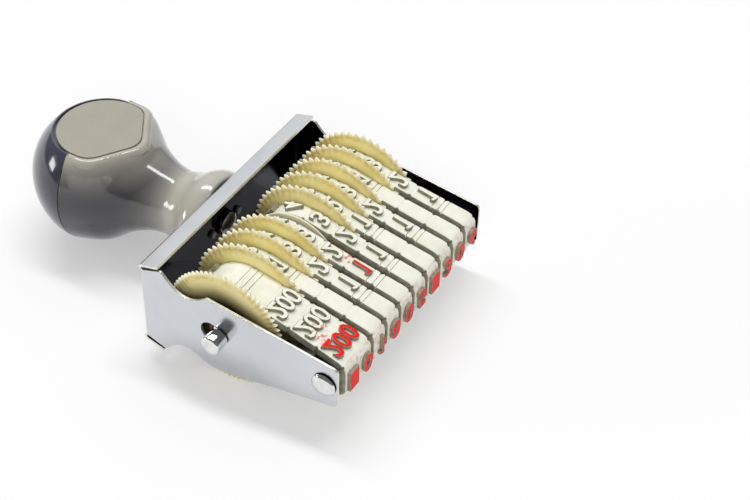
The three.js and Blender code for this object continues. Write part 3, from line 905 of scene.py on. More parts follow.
@dataclass
class BentFrame:
    """One strip of sheet steel bent to a U, with flared lips on its web and scooped plates."""

    half_width: float = 30.0
    sheet: float = 0.65
    bend: float = 1.2
    web_half: float = 10.5
    web_drop: float = 0.6
    root_half: float = 9.4
    lip_length: float = 5.1
    lip_flare: float = 16.0
    plate_reach: float = 48.8
    tip_half: float = 5.2
    top_scoop: tuple = ((5.6, 11.0, 0.6), (11.6, 4.5, 6.2), (17.0, 9.2, 0.5))
    bottom_scoop: tuple = ((5.6, 11.6, 0.6), (9.4, 6.8, 5.0), (18.2, 10.9, 3.0))
    tip_corner: float = 1.3
    neck_hole: float = 1.8
    head_hole: float = 2.5
    head_hole_y: float = 17.8
    edging: Edging = Edging(0.14, 3)
    bend_steps: int = 8
    neck_steps: int = 12
    head_steps: int = 20

    def keyhole(self) -> list[Vector]:
        """Gives the upper half of the keyhole, from the printing end back.

        Returns:
            Its points, flat.
        """
        meet = math.degrees(math.asin(self.neck_hole / self.head_hole))
        seat = arc((AXLE_Y, 0.0), self.neck_hole, 0.0, 90.0, self.neck_steps)
        return seat + arc((self.head_hole_y, 0.0), self.head_hole, meet, 180.0, self.head_steps)

    def half_plate(self, bm: Mesh, side: int, root: float, scoop: tuple) -> None:
        """Draws the part of the near plate on one side of its middle line.

        Args:
            bm: The mesh to draw in.
            side: 1 for the upper side, -1 for the lower.
            root: How far out the plate starts at its bend.
            scoop: The corners round the thumb scoop.
        """
        corners = [(self.bend, root), *scoop]
        corners += [(self.plate_reach, self.tip_half, self.tip_corner), (self.plate_reach, 0.0)]
        outline = rounded(corners) + self.keyhole() + [Vector((self.bend, 0.0))]
        bm.faces.new([bm.verts.new((self.half_width, y, z * side)) for y, z in outline])

    def lip(self, bm: Mesh, side: int, root: float, web_edge: Edge) -> None:
        """Bends a lip out of the web's edge; its end passes over the plate's root.

        Args:
            bm: The mesh to draw in.
            side: 1 for the upper lip, -1 for the lower.
            root: Where the web's flat ends.
            web_edge: The web's edge.
        """
        corner = max(web_edge.verts, key=lambda vert: vert.co.x)
        over = bm.edges.new((corner, bm.verts.new((self.half_width, 0.0, root * side))))
        turn = math.radians(90.0 - self.lip_flare)
        made = bmesh.ops.spin(
            bm,
            geom=[web_edge, over, *web_edge.verts, over.other_vert(corner)],
            cent=(0.0, self.bend, root * side),
            axis=(1, 0, 0),
            angle=-turn * side,
            steps=self.bend_steps,
        )
        last = only(Edge, made["geom_last"])
        straight = self.lip_length - self.bend * math.tan(turn / 2)
        flare = math.radians(self.lip_flare)
        outer = bmesh.ops.extrude_edge_only(bm, edges=last)["geom"]
        out = Vector((0, math.cos(flare), side * math.sin(flare))) * straight
        bmesh.ops.translate(bm, verts=only(Vert, outer), vec=out)

    def build(self, finishes: Sequence[Finish]) -> Piece:
        """Bends the frame and gives it its wall and rounded edges.

        Args:
            finishes: Its plating outside; a brighter, warmer copy of it on the sheet's cut edges, which
                is a painted highlight; and a near-black copy inside, which is painted shade.

        Returns:
            The piece.
        """
        bm = bmesh.new()
        lip_root = self.web_half - self.bend * math.tan(math.radians(90.0 - self.lip_flare) / 2)
        flat = self.half_width - self.bend
        low_root = -self.root_half - self.web_drop
        places = [-lip_root - self.web_drop, low_root, 0.0, self.root_half, lip_root]
        side_edges = chain(bm, ((flat, 0.0, z) for z in places))
        column = [edge.verts[0] for edge in side_edges] + [side_edges[-1].verts[1]]
        middle = [bm.verts.new((0.0, 0.0, z)) for z in (lip_root, places[0])]
        bm.faces.new([*column, *middle])
        self.lip(bm, 1, lip_root, bm.edges.get((middle[0], column[-1])))
        self.lip(bm, -1, -places[0], bm.edges.get((middle[1], column[0])))
        bent = side_edges[1:3]
        bmesh.ops.spin(
            bm,
            geom=bent + corners_of(bent),
            cent=(flat, self.bend, 0.0),
            axis=(0, 0, 1),
            angle=math.pi / 2,
            steps=self.bend_steps,
        )
        self.half_plate(bm, 1, self.root_half, self.top_scoop)
        self.half_plate(bm, -1, self.root_half + self.web_drop, self.bottom_scoop)
        bmesh.ops.remove_doubles(bm, verts=bm.verts, dist=WELD)
        bmesh.ops.mirror(bm, geom=whole(bm), merge_dist=WELD, axis="X")
        bmesh.ops.recalc_face_normals(bm, faces=bm.faces)
        web = min(bm.faces, key=lambda face: face.calc_center_median().y)
        if web.normal.y > 0:
            bmesh.ops.reverse_faces(bm, faces=bm.faces)
        edges = {"edging": self.edging, "wall": self.sheet}
        return finished(bm, "bent_frame", finishes, Slot.CHROME, ["frame"], **edges)


@dataclass
class Axle:
    """The turned axle: heads outside the plates, necks in the keyholes, and the shaft between."""

    plate_inner: float = 28.9
    plate_outer: float = 30.3
    end: float = 33.7
    radius: float = 2.2
    neck_radius: float = 1.5
    chamfer: float = 0.3
    ease: float = 0.08
    steps: int = 64

    def build(self, finish: Finish) -> Piece:
        """Turns the axle.

        Args:
            finish: Its material.

        Returns:
            The piece.
        """
        half = [
            (self.radius, self.plate_inner),
            (self.neck_radius, self.plate_inner),
            (self.neck_radius, self.plate_outer),
            (self.radius - self.ease, self.plate_outer),
            (self.radius, self.plate_outer + self.ease),
            (self.radius, self.end - self.chamfer),
            (self.radius - self.chamfer / 3, self.end - self.chamfer / 3),
            (self.radius - self.chamfer, self.end),
            (0.0, self.end),
        ]
        profile = [(radius, -x) for radius, x in reversed(half)] + half
        bm = turned(profile, self.steps, "X", Vector((0, AXLE_Y, 0)))
        return finished(bm, "turned_axle", [finish], Slot.STEEL, ["axle"])


@dataclass
class PlatenBar:
    """The bar that the bands run round at the printing end, staked over outside the plates."""

    front: float = 47.0
    length: float = 6.0
    half_height: float = 2.6
    back_half_height: float = 3.2
    corner: float = 0.5
    end: float = 28.9
    tenon_y: float = 45.6
    tenon_radius: float = 1.2
    tenon_root: float = 1.0
    head_base: float = 30.3
    head_radius: float = 2.8
    head_height: float = 0.9
    foot_ease: float = 0.12
    dome_powers: tuple = (0.75, 0.9)
    dome_steps: int = 14
    steps: int = 48

    def head(self, side: int) -> Mesh:
        """Turns one tenon with its staked head: a low dome with a rounded foot.

        Args:
            side: 1 for the near end, -1 for the far end.

        Returns:
            The tenon and head.
        """
        root, base = self.end - self.tenon_root, self.head_base
        profile = [(0.0, root), (self.tenon_radius, root)]
        profile += [(self.tenon_radius, base), (self.head_radius - self.foot_ease, base)]
        wide, tall = self.dome_powers
        for point in arc((0.0, 0.0), 1.0, 0.0, 90.0, self.dome_steps)[:-1]:
            profile.append((self.head_radius * point.x**wide, base + self.head_height * point.y**tall))
        profile.append((0.0, base + self.head_height))
        profile = [(radius, side * x) for radius, x in profile]
        return turned(profile, self.steps, "X", Vector((0, self.tenon_y, 0)))

    def build(self, finish: Finish) -> Piece:
        """Draws the bar out between the plates and adds its heads.

        Args:
            finish: Its material.

        Returns:
            The piece.
        """
        back = self.front - self.length
        section = [
            (self.front, -self.half_height),
            (self.front, self.half_height),
            (back, self.back_half_height),
            (back, -self.back_half_height),
        ]
        bm = drawn_out(((-self.end, y, z) for y, z in section), (2 * self.end, 0, 0))
        bevelled(bm, self.corner, 3)
        for side in (1, -1):
            add(bm, self.head(side))
        return finished(bm, "platen", [finish], Slot.STEEL, ["platen_bar"])


# Wheels


@dataclass
class WheelSizes:
    """What the nine thumb wheels share."""

    rim: float = 1.3
    tip: float = 0.8
    radius: float = 14.5
    shoulder: float = 12.3
    shoulder_step: float = 2.2
    crown_shares: tuple = (0.0, 0.3, 0.6, 0.85)
    ease: float = 0.2
    tooth_depth: float = 0.95
    tooth_sharpness: float = 0.55
    drum_radius: float = 8.1
    bore: float = 2.5
    boss_radius: float = 3.4
    boss_length: float = 1.2
    flank_groove: float = 0.3
    groove_share: float = 0.9
    steps_per_tooth: int = 6


@dataclass
class ThumbWheel:
    """One thumb wheel: a toothed disc with a bevelled rim, and the drum that drives its band."""

    number: int
    x: float
    teeth: int
    side: DrumSide
    drum_length: float
    has_boss: bool
    sizes: WheelSizes = field(default_factory=WheelSizes)

    def profile(self) -> list[tuple[float, float]]:
        """Gives the wheel's closed section, with its drum towards plus.

        Returns:
            Its points, as (radius, place along the axle).
        """
        s = self.sizes
        half = s.rim / 2
        inner = s.shoulder - s.shoulder_step
        back = [(s.bore, -half), (inner, -half)]
        if self.has_boss:
            foot = -half - s.boss_length
            boss = s.boss_radius
            back[:1] = [(s.bore, foot), (boss - s.ease, foot), (boss, foot + s.ease), (boss, -half)]
        crown = []
        for share in s.crown_shares:
            place = half + share * (s.tip - s.rim) / 2
            crown.append((s.shoulder + share * (s.radius - s.shoulder), place))
        crown.append((s.radius, s.tip / 4))
        outer = [(radius, -place) for radius, place in crown]
        front = [(inner, half), (s.drum_radius + s.ease, half), (s.drum_radius, half + s.ease)]
        end = self.drum_length
        drum = [(s.drum_radius, end - s.ease), (s.drum_radius - s.ease, end), (s.bore, end)]
        return [*back, *outer, (s.radius, 0.0), *reversed(crown), *front, *drum, back[0]]

    def cut_teeth(self, bm: Mesh) -> None:
        """Presses the teeth into the turned rim, with a groove down the flank between two teeth.

        Args:
            bm: The turned wheel, with its disc's middle at X = 0.
        """
        s = self.sizes
        for vert in bm.verts:
            y, z = vert.co.y - AXLE_Y, vert.co.z
            radius = math.hypot(y, z)
            share = (radius - s.shoulder) / (s.radius - s.shoulder)
            if share < WELD:
                continue
            phase = math.atan2(z, y) * self.teeth / math.tau % 1.0
            ridge = abs(2 * phase - 1)
            swell = (1 - math.cos(math.pi * ridge)) / 2
            wave = 1 - (s.tooth_sharpness * ridge + (1 - s.tooth_sharpness) * swell)
            cut = radius - s.tooth_depth * wave * share
            vert.co.y = AXLE_Y + y * cut / radius
            vert.co.z = z * cut / radius
            groove = s.flank_groove * wave * math.sin(math.pi * min(1.0, share * s.groove_share))
            if abs(vert.co.x) > s.tip / 4:
                vert.co.x -= math.copysign(groove, vert.co.x)

    def build(self, finish: Finish) -> Piece:
        """Turns the wheel, cuts its teeth and sets it on the axle.

        Args:
            finish: Its plastic.

        Returns:
            The piece, which turns with its own body.
        """
        steps = self.teeth * self.sizes.steps_per_tooth
        bm = turned(self.profile(), steps, "X", Vector((0, AXLE_Y, 0)))
        self.cut_teeth(bm)
        if self.side is DrumSide.FAR:
            bmesh.ops.scale(bm, verts=bm.verts, vec=(-1, 1, 1))
        bmesh.ops.translate(bm, verts=bm.verts, vec=(self.x, 0, 0))
        bmesh.ops.recalc_face_normals(bm, faces=bm.faces)
        name = f"wheel_{self.number}"
        return finished(bm, f"{name}_moulding", [finish], Slot.IVORY, [f"thumb_{name}"], body=name)


# Bands


@dataclass(frozen=True)
class BeltPath:
    """The line that the bands' outer surface follows round drum and platen, in a wheel's plane.

    Places along it are lengths from the middle of the printing face, up over the platen first.
    """

    thickness: float = 1.9
    nose_y: float = 46.5
    nose_z: float = 2.1
    nose_inner: float = 0.8
    drum_inner: float = 8.4

    @property
    def reach(self) -> float:
        """The distance from the axle to the middle of the nose's rounding."""
        return math.hypot(self.nose_y - AXLE_Y, self.nose_z)

    @property
    def slope(self) -> float:
        """The angle by which the straight run climbs towards the drum."""
        climb = math.asin((self.drum_inner - self.nose_inner) / self.reach)
        return climb - math.atan2(self.nose_z, self.nose_y - AXLE_Y)

    @property
    def run_start(self) -> float:
        """The place where the straight run starts."""
        return self.nose_z + (self.nose_inner + self.thickness) * (math.pi / 2 - self.slope)

    @property
    def wrap_start(self) -> float:
        """The place where the drum's wrap starts."""
        return self.run_start + math.sqrt(self.reach**2 - (self.drum_inner - self.nose_inner) ** 2)

    @property
    def length(self) -> float:
        """The whole length of the line."""
        return 2 * (self.wrap_start + (self.drum_inner + self.thickness) * (math.pi / 2 + self.slope))

    def at(self, place: float) -> tuple[Vector, Vector]:
        """Finds the outer surface at a place.

        Args:
            place: The length along the line.

        Returns:
            The point and the outward direction there, both with X at 0.
        """
        place %= self.length
        if place > self.length / 2:
            point, normal = self.at(self.length - place)
            return Vector((0, point.y, -point.z)), Vector((0, normal.y, -normal.z))
        nose = self.nose_inner + self.thickness
        turn = math.pi / 2 - self.slope
        if place <= self.nose_z:
            return Vector((0, self.nose_y + nose, place)), Vector((0, 1, 0))
        if place < self.run_start:
            angle = (place - self.nose_z) / nose
            normal = Vector((0, math.cos(angle), math.sin(angle)))
            return Vector((0, self.nose_y, self.nose_z)) + normal * nose, normal
        if place < self.wrap_start:
            normal = Vector((0, math.cos(turn), math.sin(turn)))
            back = Vector((0, -math.cos(self.slope), math.sin(self.slope))) * (place - self.run_start)
            return Vector((0, self.nose_y, self.nose_z)) + normal * nose + back, normal
        wrap = self.drum_inner + self.thickness
        angle = turn + (place - self.wrap_start) / wrap
        normal = Vector((0, math.cos(angle), math.sin(angle)))
        return Vector((0, AXLE_Y, 0)) + normal * wrap, normal


PATH = BeltPath()


DRAWN_FIGURES = {
    "1": ((0.0, 0.0), (0.12, 0.0), (0.12, 1.0), (0.01, 1.0), (-0.17, 0.92), (-0.17, 0.81), (0.0, 0.86)),
    "#": ((0.0, 0.0), (0.86, 0.0), (0.86, 1.0), (0.0, 1.0)),
}


@dataclass
class FigureCase:
    """Raised figures of one size, each made once and then copied on to the bands.

    The rise is a figure's height above its tablet, the shoulder is how far its sides spread below its
    top, and the boldness is how much its strokes are fattened. The one has a short flag, and the
    block is a plain figure without a meaning.
    """

    height: float
    width: float
    shoulder: float
    rise: float
    boldness: float
    letter_scale: float = 1.35
    meshes: dict[str, bpy.types.Mesh] = field(default_factory=dict)

    def figure(self, text: str) -> bpy.types.Mesh:
        """Gives a figure, mirrored, with its tablet's surface at Z = 0.

        Args:
            text: The figure.

        Returns:
            Its mesh.
        """
        if text not in self.meshes:
            self.meshes[text] = self.cast(text)
        return self.meshes[text]

    def typed(self, text: str) -> bpy.types.Curve:
        """Gives a figure's outline as plain text.

        Args:
            text: The figure.

        Returns:
            The curve.
        """
        curve = bpy.data.curves.new("figure", "FONT")
        curve.body = text
        curve.size = self.height * self.letter_scale
        curve.resolution_u = 3
        curve.offset = self.boldness
        return curve

    def drawn(self, corners: Sequence[tuple[float, float]]) -> bpy.types.Curve:
        """Gives a figure's outline from its corners.

        Args:
            corners: The corners, as shares of the figure's height.

        Returns:
            The curve.
        """
        curve = bpy.data.curves.new("figure", "CURVE")
        curve.dimensions = "2D"
        curve.fill_mode = "BOTH"
        spline = curve.splines.new("POLY")
        spline.points.add(len(corners) - 1)
        for point, (x, y) in zip(spline.points, corners):
            point.co = (x * self.height, y * self.height, 0.0, 1.0)
        spline.use_cyclic_u = True
        return curve

    def cast(self, text: str) -> bpy.types.Mesh:
        """Makes a figure from its outline.

        Args:
            text: The figure.

        Returns:
            Its mesh.
        """
        curve = self.drawn(DRAWN_FIGURES[text]) if text in DRAWN_FIGURES else self.typed(text)
        curve.extrude = self.rise / 2
        curve.bevel_depth = self.shoulder
        curve.bevel_resolution = 0
        model = bpy.data.objects.new("figure", curve)
        bpy.context.scene.collection.objects.link(model)
        bpy.context.view_layer.update()
        evaluated = model.evaluated_get(bpy.context.evaluated_depsgraph_get())
        mesh = bpy.data.meshes.new_from_object(evaluated)
        bpy.data.objects.remove(model)
        bpy.data.curves.remove(curve)
        bm = bmesh.new()
        bm.from_mesh(mesh)
        bmesh.ops.remove_doubles(bm, verts=bm.verts, dist=WELD)
        low, high = (Vector([end(v.co[i] for v in bm.verts) for i in range(3)]) for end in (min, max))
        middle = (low + high) / 2
        bmesh.ops.translate(bm, verts=bm.verts, vec=(-middle.x, -middle.y, self.rise - high.z))
        narrow = min(1.0, self.width / (high.x - low.x))
        bmesh.ops.scale(bm, verts=bm.verts, vec=(-narrow, self.height / (high.y - low.y), 1))
        bmesh.ops.recalc_face_normals(bm, faces=bm.faces)
        # Painted shade: the figure's sides take a darker rubber than its top.
        for face in bm.faces:
            on_top = face.calc_center_median().z > self.rise - WELD * 10
            face.material_index = BandFinish.RUBBER if on_top else BandFinish.FIGURE_SHADE
            face.smooth = False
        bm.to_mesh(mesh)
        bm.free()
        return mesh


@dataclass
class TypeBand:
    """One endless rubber band: its belt with notched tablets, slits and raised figures."""

    number: int
    x: float
    width: float
    end_x: float
    end_width: float
    figures: dict[int, str]
    inked: frozenset[int]
    slits: tuple[float, ...]
    tablets: int = 14
    advance: float = 0.5
    figure_advance: float = 0.4
    bite: float = 0.34
    bite_half: float = 0.3
    bite_start: float = 0.08
    bite_ease: float = 0.12
    edge: float = 0.16
    dip: float = 0.07
    dip_half: float = 0.11
    dip_floor: float = 0.04
    slit_depth: float = 0.45
    slit_half: float = 0.11
    slit_floor: float = 0.6
    slit_catch: float = 0.62
    spread_from: float = 32.6
    figure_step: float = 2.95
    face_step: float = 5.4
    face_shift: float = -0.2
    nose_steps: int = 6
    wrap_steps: int = 18
    least_step: float = 0.02

    @property
    def pitch(self) -> float:
        """The length of a tablet along the belt."""
        return PATH.length / self.tablets

    def lane(self, y: float) -> tuple[float, float]:
        """Finds where the belt runs.

        Args:
            y: A place along Y.

        Returns:
            The belt's middle there, and its width as a share of its end width.
        """
        share = min(1.0, max(0.0, (y - self.spread_from) / (FACE_Y - self.spread_from)))
        middle = self.x + (self.end_x - self.x) * share
        return middle, (self.width + (self.end_width - self.width) * share) / self.end_width

    def boundaries(self) -> list[float]:
        """Gives the places between two tablets."""
        return [(k + 0.5) * self.pitch + self.advance for k in range(self.tablets)]

    def stations(self) -> list[float]:
        """Finds the places round the belt that its form needs.

        Returns:
            The places, in order.
        """
        places = {0.0}
        bite = (self.bite_half - self.bite_start, self.bite_half, self.bite_half + self.bite_ease)
        for boundary in self.boundaries():
            for offset in (self.dip_floor, self.dip_half, *bite):
                places.update((boundary - offset, boundary + offset))
            places.add(boundary)
        for slit in self.slits:
            for offset in (self.slit_half * self.slit_floor, self.slit_half):
                places.update((slit - offset, slit + offset))
        nose_step = (PATH.run_start - PATH.nose_z) / self.nose_steps
        wrap_step = (PATH.length / 2 - PATH.wrap_start) / self.wrap_steps
        nose = [PATH.nose_z + i * nose_step for i in range(self.nose_steps + 1)]
        wrap = [PATH.wrap_start + i * wrap_step for i in range(self.wrap_steps + 1)]
        for place in nose + wrap:
            places.update((place, PATH.length - place))
        ordered = sorted({round(place % PATH.length, 4) for place in places})
        steps = zip(ordered, [-math.inf, *ordered])
        return [place for place, before in steps if place - before > self.least_step]

    def shaped(self, place: float, across: float, height: float) -> Vector:
        """Finds where a point of the belt's section lies at a place.

        Args:
            place: The length along the belt.
            across: How far the point is from the belt's middle, at the printing end.
            height: How far it stands above the tablets' surface.

        Returns:
            The point in the stamp's axes.
        """
        loop = PATH.length
        near = min(abs((place - b + loop / 2) % loop - loop / 2) for b in self.boundaries())
        bite_ramp = self.bite_start + self.bite_ease
        bitten = min(1.0, max(0.0, (self.bite_half + self.bite_ease - near) / bite_ramp))
        if abs(across) > self.end_width / 2 - self.edge * 1.5:
            across = math.copysign(abs(across) - self.bite * bitten, across)
        if height > -self.edge * 2:
            height -= self.dip * max(0.0, 1 - near / self.dip_half)
            if any(abs(place - slit) < self.slit_half * self.slit_catch for slit in self.slits):
                height -= self.slit_depth
        point, normal = PATH.at(place)
        middle, narrow = self.lane(point.y)
        return point + normal * height + Vector((middle + across * narrow, 0, 0))

    def section(self) -> list[tuple[float, float]]:
        """Draws half of the belt's section and mirrors it.

        Returns:
            Its points, as (across, height).
        """
        half = self.end_width / 2
        edge = self.edge
        right = [
            (half - edge / 2, -PATH.thickness),
            (half, -PATH.thickness + edge / 2),
            (half, -edge),
            (half - edge * 0.3, -edge * 0.3),
            (half - edge, 0.0),
            (half - edge * 2.2, 0.0),
        ]
        return right + [(-across, height) for across, height in reversed(right)]

    def belt(self, bm: Mesh) -> None:
        """Draws the belt out along its path, from station to station.

        Args:
            bm: The mesh to draw in.
        """
        section = self.section()
        corner = bm.verts.layers.int.new("corner")
        places = self.stations()
        first = chain(bm, (self.shaped(places[0], *point) for point in section), closed=True)
        for index, vert in enumerate(bm.verts):
            vert[corner] = index
        ring = first
        side_corners = (0, 1, len(section) - 2, len(section) - 1)
        for place in places[1:]:
            made = bmesh.ops.extrude_edge_only(bm, edges=ring)["geom"]
            ring = only(Edge, made)
            for vert in corners_of(ring):
                vert.co = self.shaped(place, *section[vert[corner]])
            for face in only(Face, made):
                # Painted shade: faces on the belt's sides and underside take the darker rubber.
                upright = any(vert[corner] in side_corners for vert in face.verts)
                face.material_index = BandFinish.SHADED_SIDES if upright else BandFinish.RUBBER
        bmesh.ops.bridge_loops(bm, edges=first + ring)
        bmesh.ops.recalc_face_normals(bm, faces=bm.faces)

    def seat(self, place: float, across: float) -> Matrix:
        """Finds how a figure stands on its tablet.

        Args:
            place: The figure's middle along the belt.
            across: How far it is from the belt's middle.

        Returns:
            The matrix that sets the figure there, its foot away from the printing face.
        """
        point, normal = PATH.at(place)
        middle, narrow = self.lane(point.y)
        axle = Vector((1, 0, 0))
        return placed(point + axle * (middle + across * narrow), axle, normal.cross(axle), normal)

    def add_figures(self, bm: Mesh, cases: Sequence[FigureCase]) -> None:
        """Sets the raised figures on their tablets.

        Args:
            bm: The belt's mesh.
            cases: Where the figures on the printing face come from, and the others.
        """
        for tablet, text in self.figures.items():
            shift = self.advance + self.figure_advance if tablet else self.face_shift
            place = tablet * self.pitch + shift
            step = self.figure_step if tablet else self.face_step
            case = cases[1 if tablet else 0]
            for index, letter in enumerate(text):
                across = (len(text) - 1) / 2 * step - index * step
                before = len(bm.faces)
                bm.from_mesh(case.figure(letter))
                bm.faces.ensure_lookup_table()
                added = bm.faces[before:]
                bmesh.ops.transform(bm, matrix=self.seat(place, across), verts=corners_of(added))
                if tablet in self.inked:
                    for face in added:
                        if face.material_index == BandFinish.RUBBER:
                            face.material_index = BandFinish.INK

    def build(self, cases: Sequence[FigureCase], finishes: Sequence[Finish]) -> Piece:
        """Makes the band.

        Args:
            cases: Where its figures come from.
            finishes: Its rubber, the painted shade on the figures' sides, the ink, and the painted shade
                with some grime on the belt's sides and underside.

        Returns:
            The piece.
        """
        bm = bmesh.new()
        self.belt(bm)
        self.add_figures(bm, cases)
        return finished(bm, f"type_band_{self.number}", finishes, Slot.RUBBER, [f"band_{self.number}"])


@dataclass
class BandSet:
    """The nine wheels and their bands, side by side on the axle."""

    count: int = 9
    near_count: int = 4
    plate_inner: float = 29.2
    gap: float = 0.3
    slot_width: float = 4.16
    wide_slot: float = 8.77
    tablet_width: float = 4.34
    wide_tablet: float = 9.8
    tablet_space: float = 1.28
    side_gap: float = 0.12
    guide_thickness: float = 0.6
    guide_sheet: float = 0.4
    guide_radius: float = 10.95
    guide_steps: int = 96
    teeth: int = 48
    fine_teeth: int = 72
    first_figure: tuple = (1, 4, 2, 2, 2, 3, 2, 4, 2)
    face_figures: tuple = ("#0", "1", "8", "0", "5", "#", "3", "0", "6")
    wide_figures: tuple = (("200", (1, 2, 3)), ("190", (6, 7)), ("180", (8, 9)), ("170", (10,)))
    wide_slits: tuple = (30.1, 31.4, 33.0)
    slit_offsets: tuple = (-1.0, 0.1, 1.6)
    sizes: WheelSizes = field(default_factory=WheelSizes)

    def wheel_x(self, number: int) -> float:
        """Gives the place of a wheel's disc along the axle.

        Args:
            number: The wheel's number, from the near plate.

        Returns:
            The place of the disc's middle.
        """
        rim = self.sizes.rim
        end = self.plate_inner - self.gap - self.sizes.boss_length - rim / 2
        if number > self.near_count:
            return (self.count - number) * (rim + self.slot_width) - end
        if number == 1:
            return end
        return end - rim - self.wide_slot - (number - 2) * (rim + self.slot_width)

    def side(self, number: int) -> DrumSide:
        """Tells on which side a wheel carries its drum."""
        return DrumSide.NEAR if number > self.near_count else DrumSide.FAR

    @property
    def guide_x(self) -> float:
        """The place of the guide disc, midway between the two groups."""
        return (self.wheel_x(self.near_count) + self.wheel_x(self.near_count + 1)) / 2

    def drum_length(self, number: int) -> float:
        """Gives how far a wheel's drum reaches from the middle of its disc.

        Args:
            number: The wheel's number, from the near plate.

        Returns:
            The reach, in millimetres.
        """
        side = self.side(number).value
        beside_guide = number in (self.near_count, self.near_count + 1)
        stop = self.guide_x - side * self.guide_thickness / 2
        if not beside_guide:
            stop = self.wheel_x(number - side) - side * self.sizes.rim / 2
        return abs(stop - self.wheel_x(number)) - self.gap

    def wheel(self, number: int) -> ThumbWheel:
        """Describes one wheel.

        Args:
            number: The wheel's number, from the near plate.

        Returns:
            The wheel.
        """
        return ThumbWheel(
            number=number,
            x=self.wheel_x(number),
            teeth=self.fine_teeth if number == 1 else self.teeth,
            side=self.side(number),
            drum_length=self.drum_length(number),
            has_boss=number in (1, self.count),
            sizes=self.sizes,
        )

    def lettering(self, number: int) -> tuple[dict[int, str], tuple[float, ...]]:
        """Chooses a band's figures and slits.

        Args:
            number: The band's number, from the near plate.

        Returns:
            The figures by their tablets, and the places of the slits.
        """
        if number == 1:
            figures = {tablet: text for text, tablets in self.wide_figures for tablet in tablets}
            slits = self.wide_slits
        else:
            first = self.first_figure[number - 1]
            count = min(10, TypeBand.tablets - 1 - first)
            figures = {first + i: str((i + 1) % 10) for i in range(count)}
            start = (first - 0.5) * PATH.length / TypeBand.tablets + TypeBand.advance
            slits = tuple(start + offset for offset in self.slit_offsets)
        return {**figures, 0: self.face_figures[number - 1]}, slits

    def band(self, number: int) -> TypeBand:
        """Describes one band, with its figures and slits.

        Args:
            number: The band's number, from the near plate.

        Returns:
            The band.
        """
        wide = number == 1
        width = (self.wide_slot if wide else self.slot_width) - 2 * self.side_gap
        end_width = self.wide_tablet if wide else self.tablet_width
        step = self.tablet_width + self.tablet_space
        edge = (self.wide_tablet + (self.count - 1) * step) / 2
        if not wide:
            edge -= self.wide_tablet + self.tablet_space + (number - 2) * step
        figures, slits = self.lettering(number)
        inked = {0, 1} if wide else {0}
        if number == self.near_count:
            inked.add(self.first_figure[number - 1])
        beside = self.sizes.rim / 2 + self.side_gap + width / 2
        return TypeBand(
            number=number,
            x=self.wheel_x(number) + self.side(number).value * beside,
            width=width,
            end_x=edge - end_width / 2,
            end_width=end_width,
            figures=figures,
            inked=frozenset(inked),
            slits=slits,
        )

    def guide(self, finish: Finish) -> Piece:
        """Turns the thin disc between the two groups of bands.

        Args:
            finish: Its material.

        Returns:
            The piece.
        """
        half = self.guide_sheet / 2
        ease = half / 2
        radius = self.guide_radius
        bore = self.sizes.bore
        upper = [(radius - ease, -half), (radius, -half + ease)]
        lower = [(radius, half - ease), (radius - ease, half)]
        profile = [(bore, -half), *upper, *lower, (bore, half), (bore, -half)]
        bm = turned(profile, self.guide_steps, "X", Vector((self.guide_x, AXLE_Y, 0)))
        return finished(bm, "guide_washer", [finish], Slot.IVORY, ["guide_disc"])

    def build(self, plastics: Sequence[Finish], band_finishes: Sequence[Finish]) -> None:
        """Makes the guide disc, the wheels and the bands.

        Args:
            plastics: Plastic of the guide disc; of the first wheel, with painted shade of the near plate
                and some dirt spread wide from its middle; and of the other wheels.
            band_finishes: The bands' rubber, the painted shade on the figures' sides, the ink, and the
                painted shade with some grime on the belts' sides and undersides.
        """
        pale, grimy_shaded, ivory = plastics
        face_case = FigureCase(height=4.9, width=3.4, shoulder=0.1, rise=0.8, boldness=0.16)
        cases = (face_case, FigureCase(height=4.8, width=2.8, shoulder=0.12, rise=0.78, boldness=0.09))
        self.guide(pale)
        for number in range(1, self.count + 1):
            self.wheel(number).build(grimy_shaded if number == 1 else ivory)
            self.band(number).build(cases, band_finishes)


# Handle


@dataclass
class LabelShape:
    """The label insert's outline: half round at the knob's end, tapering to the waist."""

    radius: float = 10.6
    arc_reach: float = 31.7
    tip_reach: float = 21.3
    taper: float = 33.3
    side_ease: float = 2.8
    tip_ease: float = 3.2
    ease_steps: int = 8
    arc_steps: int = 40

    def outline(self, grow: float) -> list[Vector]:
        """Draws the outline, grown all round.

        Args:
            grow: How far it is grown.

        Returns:
            Its points, flat.
        """
        slope = math.tan(math.radians(self.taper))
        side = self.radius + grow
        tip_y = grow * math.hypot(1, slope) - self.tip_reach
        corner_y = tip_y - side * slope
        upper = [(side, -self.arc_reach), (side, corner_y, self.side_ease)]
        tip = [(0.0, tip_y, self.tip_ease)]
        lower = [(-side, corner_y, self.side_ease), (-side, -self.arc_reach)]
        sides = rounded([*upper, *tip, *lower], self.ease_steps)[:-1]
        return sides + arc((0.0, -self.arc_reach), side, 180.0, 360.0, self.arc_steps)[:-1]


def lies_inside(at: Vector, sides: Sequence[tuple[Vector, Vector]]) -> bool:
    """Tells whether a point lies inside a closed outline, all flat.

    Args:
        at: The point.
        sides: The outline's sides, each as its two ends.

    Returns:
        Whether the point lies inside.
    """
    inside = False
    for a, b in sides:
        if (a.y > at.y) != (b.y > at.y) and at.x < a.x + (at.y - a.y) * (b.x - a.x) / (b.y - a.y):
            inside = not inside
    return inside


